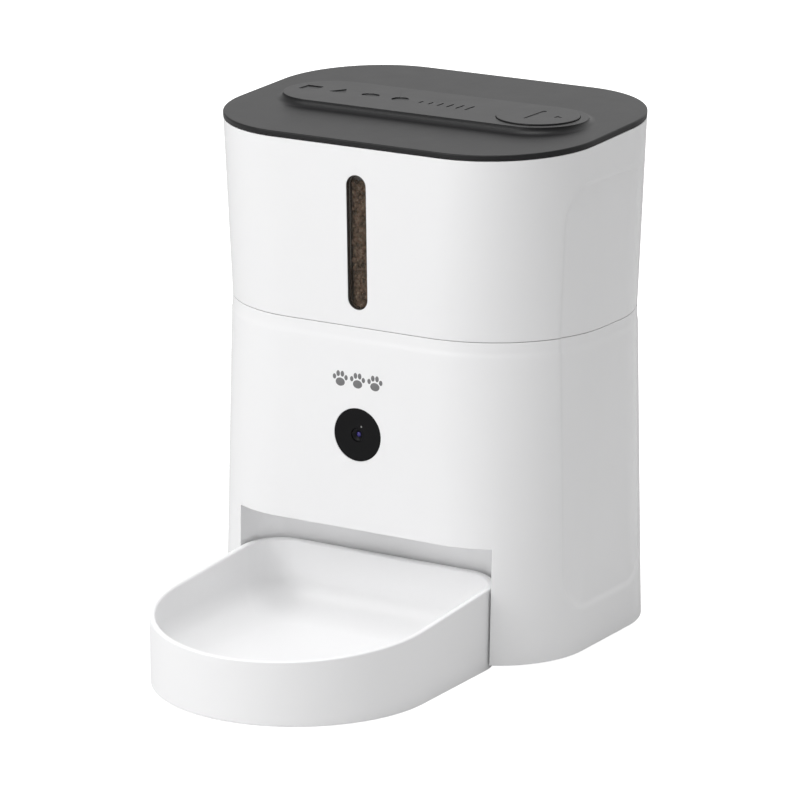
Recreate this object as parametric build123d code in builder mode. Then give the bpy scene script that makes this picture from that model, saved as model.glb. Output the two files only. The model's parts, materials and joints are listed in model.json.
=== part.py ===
from build123d import *
import math
import os

os.makedirs("parts", exist_ok=True)

# Automatic pet feeder. Millimetres, +Z up, floor at Z = 0, front towards -Y, left and right
# mirror about X = 0. The origin is on the floor, under the middle of the whole footprint.

# ---------------------------------------------------------------- driving dimensions
# Outline of the two shells: width, depth and corner radius at three heights
body_bottom = 4.0
seam_height = 194.6
seam_gap = 0.6
shell_top = 315.0
base_outline = (237.0, 172.0, 58.0)
seam_outline = (242.0, 169.0, 74.0)
upper_foot_outline = (241.2, 168.2, 73.6)
top_outline = (240.0, 174.0, 63.0)
shell_wall = 2.6
deck_thickness = 2.8

# Lid: a flat plate that rises slightly towards the back, with a raised bar whose top is level
lid_height = 308.5
lid_tilt = 2.43
lid_plate = 3.4
lid_gap = 0.2
bar_length = 199.0
bar_width = 59.0
bar_flare = 8.0
bar_level = 311.3
bar_skin = 2.0
button_x = 70.0
button_radius = 24.2
button_gap = 0.4
button_level = 312.1
button_travel = 3.0
bolt_travel = 3.6

# Bowl: straight sides, a round front, and a rim that falls towards the front
bowl_radius = 85.0
bowl_arc_y = -149.5
bowl_back_y = -55.0
bowl_back_corner = 25.0
bowl_foot = 1.0
bowl_rim_height = 44.5
bowl_rim_tilt = 4.04
bowl_wall = 2.4
bowl_rim_width = 3.6
dish_floor = 9.0
dish_fillet = 19.0

# The body's own middle, measured from the middle of the whole footprint
bowl_front_y = bowl_arc_y - bowl_radius
body_y = -(bowl_front_y + top_outline[1] / 2) / 2

# Bowl recess in the lower body
recess_width = 172.6
recess_back_y = -51.4
recess_length = 140.0
recess_corner = 27.0
recess_height = 73.5
recess_wall = 2.4

# Window and camera on the front
window_width = 13.2
window_length = 79.7
window_height = 245.2
window_flange = 3.5
camera_height = 131.0
camera_radius = 15.65
lens_radius = 3.9

# Hopper tank inside the upper shell
tank_gap = 0.8
tank_wall = 1.6
tank_rim_band = 10.0
funnel_top = 232.0
funnel_bottom = 182.0
spout_bottom = 172.0
spout_radius = 42.0

# Dispenser: a paddle rotor on a vertical shaft
rotor_y = 6.0
housing_floor = 134.0
housing_wall = 2.4
housing_radius = 50.0
housing_top = 178.0
deck_hole = (132.0, 112.0, 52.0)
vane_count = 6
vane_bottom = 138.8
vane_height = 24.0
vane_reach = 45.4
vane_thickness = 2.4
hub_radius = 12.0
shaft_radius = 4.0
running_gap = 0.05

# Gear train under the dispenser
gear_module = 1.0
output_teeth = 36
idler_small_teeth = 12
idler_large_teeth = 30
pinion_teeth = 10
idler_y = rotor_y + gear_module * (output_teeth + idler_small_teeth) / 2
motor_x = gear_module * (idler_large_teeth + pinion_teeth) / 2
gearbox_bottom = 92.0
gearbox_top = 118.0
gearbox_wall = 2.0
motor_radius = 12.0
motor_bottom = 58.0

# Battery bay in the rear wall, for three large cells side by side
bay_width = 102.0
bay_bottom = 16.0
bay_top = 76.0
bay_depth = 34.0
bay_wall = 1.8
port_height = 98.0
inlet_x = -36.0
pair_x = -12.0

# Rubber feet, circuit board and screws
foot_radius = 7.0
front_feet = (100.0, -38.0)
rear_feet = (85.0, 60.0)
screw_radius = 1.25
pcb_level = 40.0
boss_x = 110.0
boss_ys = (-8.0, 42.0)

# ---------------------------------------------------------------- reference planes
tilt = math.radians(lid_tilt)
lid_plane = Plane(
    origin=(0, body_y, lid_height),
    x_dir=(1, 0, 0),
    z_dir=(0, -math.sin(tilt), math.cos(tilt)),
)
bowl_tilt = math.radians(bowl_rim_tilt)
bowl_rim_plane = Plane(
    origin=(0, body_y + bowl_arc_y, bowl_rim_height),
    x_dir=(1, 0, 0),
    z_dir=(0, -math.sin(bowl_tilt), math.cos(bowl_tilt)),
)
FRONT = Vector(0, -1, 0)
REAR = Vector(0, 1, 0)


def floor_plane(level, y=0.0):
    """A horizontal plane centred on the body, moved back by y."""
    return Plane((0, body_y + y, level))


def between(low, high, share):
    """The outline a share of the way from one outline to another."""
    return tuple(a + (b - a) * share for a, b in zip(low, high))


def lower_size(level):
    """Width, depth and corner radius of the lower body at a height."""
    share = (level - body_bottom) / (seam_height - body_bottom)
    return between(base_outline, seam_outline, share)


def upper_size(level):
    """Width, depth and corner radius of the upper shell at a height."""
    foot = seam_height + seam_gap
    return between(upper_foot_outline, top_outline, (level - foot) / (shell_top - foot))


def wall_plane(size_at, outward, level):
    """The plane of a flat outer wall: local Y runs up the wall, the normal points out."""
    axis = 1 if outward.Y else 0
    reach = size_at(level)[axis] / 2
    slope = size_at(level + 1)[axis] / 2 - reach
    centre = Vector(0, body_y, level) + outward * reach
    return Plane(
        origin=centre,
        x_dir=Vector(0, 0, 1).cross(outward),
        z_dir=outward - Vector(0, 0, slope),
    )


# ---------------------------------------------------------------- outlines
def body_section(size_at, level, inset=0.0):
    """The body's rounded-rectangle outline at a height, moved inwards."""
    width, depth, corner = size_at(level)
    with BuildSketch(floor_plane(level)) as outline:
        RectangleRounded(width - 2 * inset, depth - 2 * inset, corner - inset)
    return outline.sketch


def discs(plane, radius, centres=((0, 0),)):
    """One circle at each centre."""
    with BuildSketch(plane) as outline:
        with Locations(*centres):
            Circle(radius)
    return outline.sketch


def blocks(plane, width, height, centres=((0, 0),)):
    """One rectangle at each centre."""
    with BuildSketch(plane) as outline:
        with Locations(*centres):
            Rectangle(width, height)
    return outline.sketch


def rounded_block(plane, width, height, corner, centre=(0, 0)):
    """One rounded rectangle."""
    with BuildSketch(plane) as outline:
        with Locations(centre):
            RectangleRounded(width, height, corner)
    return outline.sketch


def stadium(plane, length, width, turn=0.0):
    """A slot-shaped outline with full-round ends."""
    with BuildSketch(plane) as outline:
        SlotOverall(length, width, rotation=turn)
    return outline.sketch


def ring(plane, outer, inner, centres=((0, 0),)):
    """A flat ring at each centre."""
    with BuildSketch(plane) as outline:
        with Locations(*centres):
            Circle(outer)
            Circle(inner, mode=Mode.SUBTRACT)
    return outline.sketch


def recess_section(level, grow=0.0):
    """The bowl recess in plan: open to the front, with round back corners."""
    middle = recess_back_y - recess_length / 2
    return rounded_block(
        floor_plane(level, middle),
        recess_width + 2 * grow,
        recess_length + 2 * grow,
        recess_corner + grow,
    )


def bowl_section(level, inset=0.0):
    """The bowl in plan: a round front, straight sides and round back corners."""
    length = bowl_back_y - bowl_arc_y
    with BuildSketch(floor_plane(level, bowl_arc_y)) as outline:
        Circle(bowl_radius)
        with Locations((0, length / 2)):
            Rectangle(2 * bowl_radius, length)
        back_corners = outline.vertices().group_by(Axis.Y)[-1]
        fillet(back_corners, bowl_back_corner)
        if inset:
            offset(amount=-inset, mode=Mode.REPLACE)
    return outline.sketch


def gear_outline(plane, teeth, phase):
    """A spur gear outline with straight-sided teeth; the first tooth stands at phase degrees."""
    pitch_radius = gear_module * teeth / 2
    tip = pitch_radius + 0.8 * gear_module
    root = pitch_radius - 1.1 * gear_module
    step = 360 / teeth
    points = []
    for tooth in range(teeth):
        middle = phase + tooth * step
        for radius, side in ((root, -0.30), (tip, -0.11), (tip, 0.11), (root, 0.30)):
            angle = math.radians(middle + side * step)
            points.append((radius * math.cos(angle), radius * math.sin(angle)))
    with BuildSketch(plane) as outline:
        with BuildLine():
            Polyline(*points, close=True)
        make_face()
    return outline.sketch


def coil(plane, radius, wire, height, turns):
    """A compression spring that stands on a plane."""
    with BuildPart() as spring:
        with BuildLine() as path:
            Helix(height / turns, height, radius, center=plane.origin, direction=plane.z_dir)
        with BuildSketch(path.line ^ 0):
            Circle(wire)
        sweep()
    return spring.part


pieces = {}

# ---------------------------------------------------------------- lid
skirt_inset = shell_wall + tank_gap + tank_wall + 0.8
skirt_wall = 1.8
skirt_bottom = -24.0
liner_floor = -18.0
liner_floor_top = -16.0
seal_top = -20.0
seal_height = 3.0
bolt_bottom = -12.5
bolt_thickness = 1.5
spring_stop_x = button_x - 29.5
desiccant_x = -45.0
desiccant_radius = 27.0
desiccant_depth = 14.0
lid_screw_spots = ((-84, 32), (-84, -32), (40, 42), (40, -42))
bar_top_plane = floor_plane(bar_level)
button_top_plane = floor_plane(button_level)
mark_depth = 0.6

with BuildPart() as lid_cover:
    loft(
        [body_section(upper_size, 285.0), body_section(upper_size, shell_top)],
        ruled=True,
    )
    split(bisect_by=lid_plane, keep=Keep.BOTTOM)
    split(bisect_by=lid_plane.offset(-lid_plate), keep=Keep.TOP)
    chamfer(lid_cover.faces().sort_by(Axis.Z)[-1].edges(), 0.5)
    # Raised bar with flared sides, hollow from below
    loft(
        [
            stadium(lid_plane.offset(-0.5), bar_length + bar_flare, bar_width + bar_flare),
            stadium(bar_top_plane, bar_length, bar_width),
        ],
        ruled=True,
    )
    hollow_depth = 12
    extrude(
        stadium(bar_top_plane.offset(-bar_skin), bar_length - 5, bar_width - 5),
        amount=-hollow_depth,
        mode=Mode.SUBTRACT,
    )
    # Well for the push button
    extrude(
        discs(lid_plane.offset(-1), button_radius + button_gap, [(button_x, 0)]),
        amount=6,
        mode=Mode.SUBTRACT,
    )
    # Kibble shapes and rising size ticks, pressed into the bar
    with BuildSketch(bar_top_plane):
        with Locations((-86.5, 2)):
            Rectangle(11, 11)
        with Locations((-66, 2)):
            RegularPolygon(6.8, 3, rotation=90)
        with Locations((-45, 2)):
            Ellipse(5.8, 4.0)
        with Locations((-24, 1)):
            Circle(5.2)
        for tick in range(6):
            with Locations((-9 + 6.6 * tick, 0)):
                SlotOverall(5.0 + 1.2 * tick, 1.3, rotation=90)
    extrude(amount=-mark_depth, mode=Mode.SUBTRACT)
    # Screw bosses
    extrude(discs(lid_plane.offset(liner_floor_top), 3.4, lid_screw_spots), amount=13.6)
    extrude(
        discs(lid_plane.offset(liner_floor_top), screw_radius, lid_screw_spots),
        amount=10,
        mode=Mode.SUBTRACT,
    )
pieces["lid_cover"] = lid_cover


def lid_slab(high, low, inset):
    """The part of the inset upper outline between two heights under the lid plane."""
    with BuildPart() as slab:
        loft(
            [body_section(upper_size, 260.0, inset), body_section(upper_size, shell_top, inset)],
            ruled=True,
        )
        split(bisect_by=lid_plane.offset(high), keep=Keep.BOTTOM)
        split(bisect_by=lid_plane.offset(low), keep=Keep.TOP)
    return slab.part


with BuildPart() as lid_liner:
    add(lid_slab(-lid_plate, skirt_bottom, skirt_inset))
    add(lid_slab(-lid_plate, liner_floor_top, skirt_inset + skirt_wall), mode=Mode.SUBTRACT)
    add(lid_slab(liner_floor, skirt_bottom, skirt_inset + skirt_wall), mode=Mode.SUBTRACT)
    # Groove that holds the seal
    groove = lid_slab(seal_top, seal_top - seal_height, skirt_inset) - lid_slab(
        seal_top, seal_top - seal_height, skirt_inset + 0.8
    )
    add(groove, mode=Mode.SUBTRACT)
    # Post that guides the button, shelf under the bolt and stop for its spring
    extrude(discs(lid_plane.offset(liner_floor_top), 3.0, [(button_x, 0)]), amount=9)
    shelf = blocks(lid_plane.offset(liner_floor_top), 18, 10, [(99, 0)])
    extrude(shelf, amount=bolt_bottom - liner_floor_top - 0.1)
    extrude(blocks(lid_plane.offset(liner_floor_top), 3, 12, [(spring_stop_x, 0)]), amount=8)
    rail_spots = [(button_x + 1, 14.4), (button_x + 1, -14.4)]
    rails = blocks(lid_plane.offset(liner_floor_top), 22, 1.6, rail_spots)
    extrude(rails, amount=6)
    # Way out for the bolt, and screw holes with sunk heads
    bolt_way = blocks(lid_plane.offset(bolt_bottom - 0.5), 12, 13, [(112, 0)])
    extrude(bolt_way, amount=bolt_thickness + 1, mode=Mode.SUBTRACT)
    extrude(
        discs(lid_plane.offset(liner_floor), screw_radius + 0.1, lid_screw_spots),
        amount=3,
        mode=Mode.SUBTRACT,
    )
    extrude(
        discs(lid_plane.offset(liner_floor), 2.8, lid_screw_spots),
        amount=1.0,
        mode=Mode.SUBTRACT,
    )
pieces["lid_liner"] = lid_liner

with BuildPart() as lid_seal:
    add(lid_slab(seal_top, seal_top - seal_height, skirt_inset - 0.6))
    add(lid_slab(seal_top, seal_top - seal_height, skirt_inset + 0.8), mode=Mode.SUBTRACT)
pieces["lid_seal"] = lid_seal

with BuildPart() as lid_screws:
    extrude(discs(lid_plane.offset(liner_floor + 0.1), 2.6, lid_screw_spots), amount=0.9)
    extrude(discs(lid_plane.offset(liner_floor + 0.5), 1.15, lid_screw_spots), amount=10.5)
    drive = blocks(lid_plane.offset(liner_floor + 0.1), 3, 0.6, lid_screw_spots)
    extrude(drive, amount=0.4, mode=Mode.SUBTRACT)
    drive = blocks(lid_plane.offset(liner_floor + 0.1), 0.6, 3, lid_screw_spots)
    extrude(drive, amount=0.4, mode=Mode.SUBTRACT)
pieces["lid_screws"] = lid_screws

desiccant_spot = [(desiccant_x, 0)]
with BuildPart() as desiccant_box:
    cup_plane = lid_plane.offset(liner_floor - desiccant_depth)
    extrude(
        ring(cup_plane, desiccant_radius, desiccant_radius - 1.8, desiccant_spot),
        amount=desiccant_depth,
    )
    extrude(
        discs(lid_plane.offset(liner_floor - 1.2), desiccant_radius - 1, desiccant_spot),
        amount=1.2,
    )
pieces["desiccant_box"] = desiccant_box

with BuildPart() as desiccant_bag:
    bag_plane = lid_plane.offset(liner_floor - 11.5)
    extrude(discs(bag_plane, 22.5, desiccant_spot), amount=9.5)
    fillet(desiccant_bag.edges(), 4)
pieces["desiccant_bag"] = desiccant_bag

with BuildPart() as desiccant_cover:
    cap_plane = lid_plane.offset(liner_floor - desiccant_depth - 2.2)
    extrude(discs(cap_plane, desiccant_radius + 0.6, desiccant_spot), amount=2)
    fillet(desiccant_cover.faces().sort_by(Axis.Z)[0].edges(), 0.8)
    for spoke in range(12):
        angle = math.radians(30 * spoke)
        spot = (desiccant_x + 17.5 * math.cos(angle), 17.5 * math.sin(angle))
        with BuildSketch(cap_plane.offset(-1)):
            with Locations(spot):
                SlotOverall(10, 2.4, rotation=30 * spoke)
        extrude(amount=4, mode=Mode.SUBTRACT)
    extrude(blocks(cap_plane.offset(-3), 16, 2.2, desiccant_spot), amount=3.2)
pieces["desiccant_cover"] = desiccant_cover

flange_bottom = -2.3
stem_bottom = -12.7
cone_bottom = -11.5
cone_top = cone_bottom + button_travel
button_spot = [(button_x, 0)]
with BuildPart() as latch_button:
    # Cap a little proud of the bar, and a flange that catches under the bar's skin
    extrude(discs(lid_plane.offset(flange_bottom), button_radius, button_spot), amount=10)
    split(bisect_by=button_top_plane, keep=Keep.BOTTOM)
    fillet(latch_button.faces().sort_by(Axis.Z)[-1].edges(), 0.4)
    extrude(discs(lid_plane.offset(flange_bottom), button_radius + 1.7, button_spot), amount=1.4)
    # Stem with a cone that pushes the bolt back, hollow for the post and the spring
    extrude(discs(lid_plane.offset(stem_bottom), 5.0, button_spot), amount=-stem_bottom)
    loft(
        [
            discs(lid_plane.offset(cone_bottom), 5.0, button_spot),
            discs(lid_plane.offset(cone_top), 5.0 + bolt_travel, button_spot),
        ],
        ruled=True,
    )
    extrude(
        discs(lid_plane.offset(cone_top), 5.0 + bolt_travel, button_spot), amount=1 - cone_top
    )
    extrude(
        discs(lid_plane.offset(stem_bottom), 3.0 + running_gap, button_spot),
        amount=1.5 - stem_bottom,
        mode=Mode.SUBTRACT,
    )
    # A shallow bar and a small arrow on the cap
    with BuildSketch(button_top_plane):
        with Locations((button_x - 2.5, 1)):
            SlotOverall(24, 2.6, rotation=90)
        with Locations((button_x + 12, 2)):
            RegularPolygon(3.0, 3)
    extrude(amount=-0.3, mode=Mode.SUBTRACT)
pieces["latch_button"] = latch_button

with BuildPart() as button_spring:
    spring_plane = Plane(
        origin=lid_plane.from_local_coords(Vector(button_x, 0, liner_floor_top + 9.6)),
        x_dir=lid_plane.x_dir,
        z_dir=lid_plane.z_dir,
    )
    add(coil(spring_plane, 2.3, 0.35, 7.4, 6))
pieces["button_spring"] = button_spring

bolt_tip = top_outline[0] / 2 - shell_wall - 0.4
bolt_neck = button_x + 15
with BuildPart() as latch_bolt:
    with BuildSketch(lid_plane.offset(bolt_bottom)):
        with Locations((button_x + 2, 0)):
            RectangleRounded(30, 26, 4)
        with Locations(((bolt_neck + bolt_tip) / 2, 0)):
            Rectangle(bolt_tip - bolt_neck, 12)
        with Locations((button_x + 2.8, 0)):
            RectangleRounded(19.2, 19.6, 4, mode=Mode.SUBTRACT)
    extrude(amount=bolt_thickness)
pieces["latch_bolt"] = latch_bolt

with BuildPart() as bolt_spring:
    spring_plane = Plane(
        origin=lid_plane.from_local_coords(Vector(spring_stop_x + 2, 0, bolt_bottom + bolt_thickness / 2)),
        x_dir=(0, 1, 0),
        z_dir=(1, 0, 0),
    )
    add(coil(spring_plane, 2.2, 0.35, 13.8, 7))
pieces["bolt_spring"] = bolt_spring

# ---------------------------------------------------------------- hopper
rim_height = -lid_plate - lid_gap
front_upper = wall_plane(upper_size, FRONT, window_height)
shell_foot = seam_height + seam_gap
side_panel_width = 90.0
side_panel_corner = 22.0
side_panel_depth = 0.9
side_panel_top = 283.5
side_panel_bottom = 31.0


def side_panels(size_at, low, high):
    """The shallow sunk panels on both side walls of one shell, following its surface."""
    middle = (side_panel_top + side_panel_bottom) / 2
    side_plane = Plane(origin=(0, body_y, middle), x_dir=(0, 1, 0), z_dir=(1, 0, 0))
    height = side_panel_top - side_panel_bottom
    with BuildPart() as cutter:
        loft([body_section(size_at, low, -1), body_section(size_at, high, -1)], ruled=True)
        loft(
            [
                body_section(size_at, low, side_panel_depth),
                body_section(size_at, high, side_panel_depth),
            ],
            ruled=True,
            mode=Mode.SUBTRACT,
        )
        extrude(
            rounded_block(side_plane, side_panel_width, height, side_panel_corner),
            amount=150,
            both=True,
            mode=Mode.INTERSECT,
        )
    return cutter.part


with BuildPart() as hopper_shell:
    loft(
        [body_section(upper_size, shell_foot), body_section(upper_size, shell_top)],
        ruled=True,
    )
    loft(
        [
            body_section(upper_size, shell_foot, shell_wall),
            body_section(upper_size, shell_top, shell_wall),
        ],
        ruled=True,
        mode=Mode.SUBTRACT,
    )
    split(bisect_by=lid_plane.offset(rim_height), keep=Keep.BOTTOM)
    extrude(
        stadium(front_upper.offset(-10), window_length, window_width, 90),
        amount=20,
        mode=Mode.SUBTRACT,
    )
    add(side_panels(upper_size, shell_foot - 1, shell_top), mode=Mode.SUBTRACT)
pieces["hopper_shell"] = hopper_shell

tank_inset = shell_wall + tank_gap
tank_inner = tank_inset + tank_wall
tank_rim = -4.4


def funnel(inset, top, bottom, radius, spout_end):
    """Upper outline at the top, narrowing to a round spout: one solid."""
    with BuildPart() as solid:
        loft(
            [
                rounded_block(floor_plane(bottom, rotor_y), 2 * radius, 2 * radius, radius - 0.1),
                body_section(upper_size, top, inset),
            ],
            ruled=True,
        )
        extrude(discs(floor_plane(spout_end, rotor_y), radius), amount=bottom - spout_end + 0.5)
    return solid.part


with BuildPart() as hopper_tank:
    loft(
        [
            body_section(upper_size, funnel_top, tank_inset),
            body_section(upper_size, shell_top, tank_inset),
        ],
        ruled=True,
    )
    add(lid_slab(tank_rim, tank_rim - tank_rim_band, shell_wall))
    split(bisect_by=lid_plane.offset(tank_rim), keep=Keep.BOTTOM)
    add(funnel(tank_inset, funnel_top, funnel_bottom, spout_radius, spout_bottom))
    loft(
        [
            body_section(upper_size, funnel_top, tank_inner),
            body_section(upper_size, shell_top, tank_inner),
        ],
        ruled=True,
        mode=Mode.SUBTRACT,
    )
    add(
        funnel(tank_inner, funnel_top, funnel_bottom, spout_radius - tank_wall, spout_bottom - 1),
        mode=Mode.SUBTRACT,
    )
    # Window in the front wall, and the lid bolt's slot, which is open at the rim
    extrude(
        stadium(front_upper.offset(-12), window_length - 1, window_width - 1, 90),
        amount=12,
        mode=Mode.SUBTRACT,
    )
    keeper = blocks(lid_plane.offset(bolt_bottom - 0.6), 8, 13.6, [(116, 0)])
    extrude(keeper, amount=tank_rim - bolt_bottom + 2, mode=Mode.SUBTRACT)
pieces["hopper_tank"] = hopper_tank

with BuildPart() as window_panel:
    extrude(
        stadium(front_upper.offset(-0.5), window_length - 0.4, window_width - 0.4, 90),
        amount=-(shell_wall - 0.4),
    )
    fillet(window_panel.faces().sort_by(Axis.Y)[0].edges(), 0.4)
    extrude(
        stadium(
            front_upper.offset(-shell_wall - tank_gap + 0.1),
            window_length + 2 * window_flange,
            window_width + 2 * window_flange,
            90,
        ),
        amount=tank_gap - 0.1,
    )
pieces["window_panel"] = window_panel

# ---------------------------------------------------------------- lower body
front_lower = wall_plane(lower_size, FRONT, camera_height)
rear_lower = wall_plane(lower_size, REAR, port_height)
rear_bay = wall_plane(lower_size, REAR, (bay_bottom + bay_top) / 2)
bay_height = bay_top - bay_bottom
collar_inset = 3.4
collar_top = 200.0
boss_spots = [(side * boss_x, y) for side in (-1, 1) for y in boss_ys]

with BuildPart() as body_cavity:
    loft(
        [
            body_section(lower_size, body_bottom, shell_wall),
            body_section(lower_size, seam_height - deck_thickness, shell_wall),
        ],
        ruled=True,
    )
    extrude(
        recess_section(body_bottom - 1, recess_wall),
        amount=recess_height + recess_wall - body_bottom + 1,
        mode=Mode.SUBTRACT,
    )

with BuildPart() as body_shell:
    loft(
        [body_section(lower_size, body_bottom), body_section(lower_size, seam_height)],
        ruled=True,
    )
    # Collar that centres the hopper
    collar = body_section(lower_size, seam_height, collar_inset)
    extrude(collar, amount=collar_top - seam_height)
    extrude(
        body_section(lower_size, seam_height, collar_inset + 2),
        amount=collar_top - seam_height,
        mode=Mode.SUBTRACT,
    )
    add(body_cavity.part, mode=Mode.SUBTRACT)
    extrude(
        recess_section(body_bottom - 1),
        amount=recess_height - body_bottom + 1,
        mode=Mode.SUBTRACT,
    )
    # Hole in the deck for the hopper's funnel, and hole in the recess roof for the chute
    width, depth, corner = deck_hole
    extrude(
        rounded_block(floor_plane(seam_height - 5, rotor_y), width, depth, corner),
        amount=10,
        mode=Mode.SUBTRACT,
    )
    extrude(
        rounded_block(floor_plane(recess_height - 1, -65), 44, 22, 4),
        amount=recess_wall + 2,
        mode=Mode.SUBTRACT,
    )
    # Camera hole, battery opening, power inlet and pairing button holes
    extrude(discs(front_lower, camera_radius + 0.15), amount=-6, mode=Mode.SUBTRACT)
    extrude(
        rounded_block(rear_bay.offset(3), bay_width, bay_height, 5), amount=-9, mode=Mode.SUBTRACT
    )
    with BuildSketch(rear_lower):
        with Locations((inlet_x, 0)):
            SlotOverall(12, 6.6)
    extrude(amount=-6, mode=Mode.SUBTRACT)
    extrude(discs(rear_lower, 3.3, [(pair_x, 0)]), amount=-6, mode=Mode.SUBTRACT)
    add(side_panels(lower_size, body_bottom, seam_height - 6), mode=Mode.SUBTRACT)
    # Screw bosses on ribs
    extrude(discs(floor_plane(6.6), 4.0, boss_spots), amount=26)
    rib_spots = [(side * 113.4, y) for side in (-1, 1) for y in boss_ys]
    extrude(blocks(floor_plane(6.6), 7, 2, rib_spots), amount=26)
    extrude(discs(floor_plane(6.6), screw_radius, boss_spots), amount=16, mode=Mode.SUBTRACT)
pieces["body_shell"] = body_shell

standoff_spots = [(x, y) for x in (-54, 54) for y in (-36, 30)]
speaker_spot = (-88.0, 12.0)
plate_top = body_bottom + 2.4
with BuildPart() as base_plate:
    loft(
        [
            body_section(lower_size, body_bottom + 0.2, shell_wall + 0.3),
            body_section(lower_size, plate_top, shell_wall + 0.3),
        ],
        ruled=True,
    )
    extrude(
        recess_section(body_bottom - 1, recess_wall + 0.3), amount=6, mode=Mode.SUBTRACT
    )
    extrude(discs(floor_plane(plate_top), 3.0, standoff_spots), amount=pcb_level - plate_top)
    extrude(
        discs(floor_plane(plate_top), screw_radius, standoff_spots),
        amount=40,
        mode=Mode.SUBTRACT,
    )
    # Sound slots under the speaker and clearance holes for the screws
    slot_spots = [(speaker_spot[0] + 5 * step, speaker_spot[1]) for step in range(-2, 3)]
    with BuildSketch(floor_plane(body_bottom - 1)):
        with Locations(*slot_spots):
            SlotOverall(22, 2, rotation=90)
    extrude(amount=5, mode=Mode.SUBTRACT)
    extrude(
        discs(floor_plane(body_bottom - 1), screw_radius + 0.15, boss_spots),
        amount=5,
        mode=Mode.SUBTRACT,
    )
    extrude(discs(floor_plane(body_bottom), 2.9, boss_spots), amount=1.5, mode=Mode.SUBTRACT)
pieces["base_plate"] = base_plate

foot_spots = [(side * x, y) for side in (-1, 1) for x, y in (front_feet, rear_feet)]
with BuildPart() as base_feet:
    extrude(discs(floor_plane(0), foot_radius, foot_spots), amount=body_bottom + 0.2)
    chamfer(base_feet.faces().group_by(Axis.Z)[0].edges(), 0.6)
pieces["base_feet"] = base_feet

with BuildPart() as base_screws:
    extrude(discs(floor_plane(body_bottom + 0.4), 2.7, boss_spots), amount=1.1)
    extrude(discs(floor_plane(body_bottom + 1), 1.15, boss_spots), amount=14)
    extrude(
        blocks(floor_plane(body_bottom + 0.4), 3.2, 0.7, boss_spots), amount=0.5, mode=Mode.SUBTRACT
    )
    extrude(
        blocks(floor_plane(body_bottom + 0.4), 0.7, 3.2, boss_spots), amount=0.5, mode=Mode.SUBTRACT
    )
pieces["base_screws"] = base_screws

# ---------------------------------------------------------------- camera
with BuildPart() as camera_bezel:
    extrude(discs(front_lower.offset(0.25), camera_radius), amount=-shell_wall - 0.3)
    fillet(camera_bezel.faces().sort_by(Axis.Y)[0].edges(), 0.35)
    extrude(discs(front_lower.offset(-shell_wall - 0.05), camera_radius + 2.6), amount=-1.4)
    extrude(discs(front_lower.offset(2), lens_radius + 0.2), amount=-8, mode=Mode.SUBTRACT)
    extrude(discs(front_lower.offset(2), 0.7, [(2.6, 5.2)]), amount=-8, mode=Mode.SUBTRACT)
pieces["camera_bezel"] = camera_bezel

with BuildPart() as lens_barrel:
    extrude(discs(front_lower.offset(-0.5), lens_radius), amount=-11.5)
    loft(
        [
            discs(front_lower.offset(-0.5), 3.4),
            discs(front_lower.offset(-1.7), 2.5),
        ],
        ruled=True,
        mode=Mode.SUBTRACT,
    )
    extrude(discs(front_lower.offset(-1.5), 2.5), amount=-4, mode=Mode.SUBTRACT)
    extrude(ring(front_lower.offset(-6), 5.6, lens_radius - 0.5), amount=-6)
pieces["lens_barrel"] = lens_barrel

with BuildPart() as lens_glass:
    dome_radius = 4.2
    lens_reach = 2.45
    dome_depth = dome_radius - math.sqrt(dome_radius**2 - lens_reach**2)
    with BuildSketch(Plane(origin=front_lower.origin, x_dir=(1, 0, 0), z_dir=(0, 0, 1))):
        with BuildLine():
            Line((0, 4.4), (0, 1.5))
            ThreePointArc(
                (0, 1.5),
                (
                    dome_radius * math.sin(math.asin(lens_reach / dome_radius) / 2),
                    1.5 + dome_radius * (1 - math.cos(math.asin(lens_reach / dome_radius) / 2)),
                ),
                (lens_reach, 1.5 + dome_depth),
            )
            Line((lens_reach, 1.5 + dome_depth), (lens_reach, 4.4))
            Line((lens_reach, 4.4), (0, 4.4))
        make_face()
    revolve(axis=Axis(front_lower.origin, (0, 1, 0)))
pieces["lens_glass"] = lens_glass

with BuildPart() as light_sensor:
    extrude(discs(front_lower.offset(-0.1), 0.6, [(2.6, 5.2)]), amount=-5.5)
pieces["light_sensor"] = light_sensor

with BuildPart() as camera_board:
    extrude(rounded_block(front_lower.offset(-12.1), 32, 28, 2), amount=-1.4)
    extrude(blocks(front_lower.offset(-13.5), 9, 9, [(0, 2)]), amount=-1.2)
    extrude(blocks(front_lower.offset(-13.5), 12, 4, [(0, -10)]), amount=-3)
pieces["camera_board"] = camera_board

# ---------------------------------------------------------------- dispenser
with BuildPart() as dispenser_housing:
    for shrink, mode in ((0.0, Mode.ADD), (housing_wall, Mode.SUBTRACT)):
        low = housing_floor + shrink
        radius = housing_radius - shrink
        extrude(
            discs(floor_plane(low, rotor_y), radius), amount=housing_top - low + 0.5, mode=mode
        )
        loft(
            [
                rounded_block(
                    floor_plane(housing_top, rotor_y), 2 * radius, 2 * radius, radius - 0.1
                ),
                rounded_block(
                    floor_plane(seam_height - deck_thickness, rotor_y),
                    width + 2 * housing_wall - 2 * shrink,
                    depth + 2 * housing_wall - 2 * shrink,
                    corner + housing_wall - shrink,
                ),
            ],
            ruled=True,
            mode=mode,
        )
    # Drop hole in the floor and seat for the shaft bush
    extrude(
        rounded_block(floor_plane(housing_floor - 1, rotor_y - 31), 34, 26, 5),
        amount=5,
        mode=Mode.SUBTRACT,
    )
    extrude(discs(floor_plane(housing_floor - 1, rotor_y), 7), amount=5, mode=Mode.SUBTRACT)
pieces["dispenser_housing"] = dispenser_housing

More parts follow.
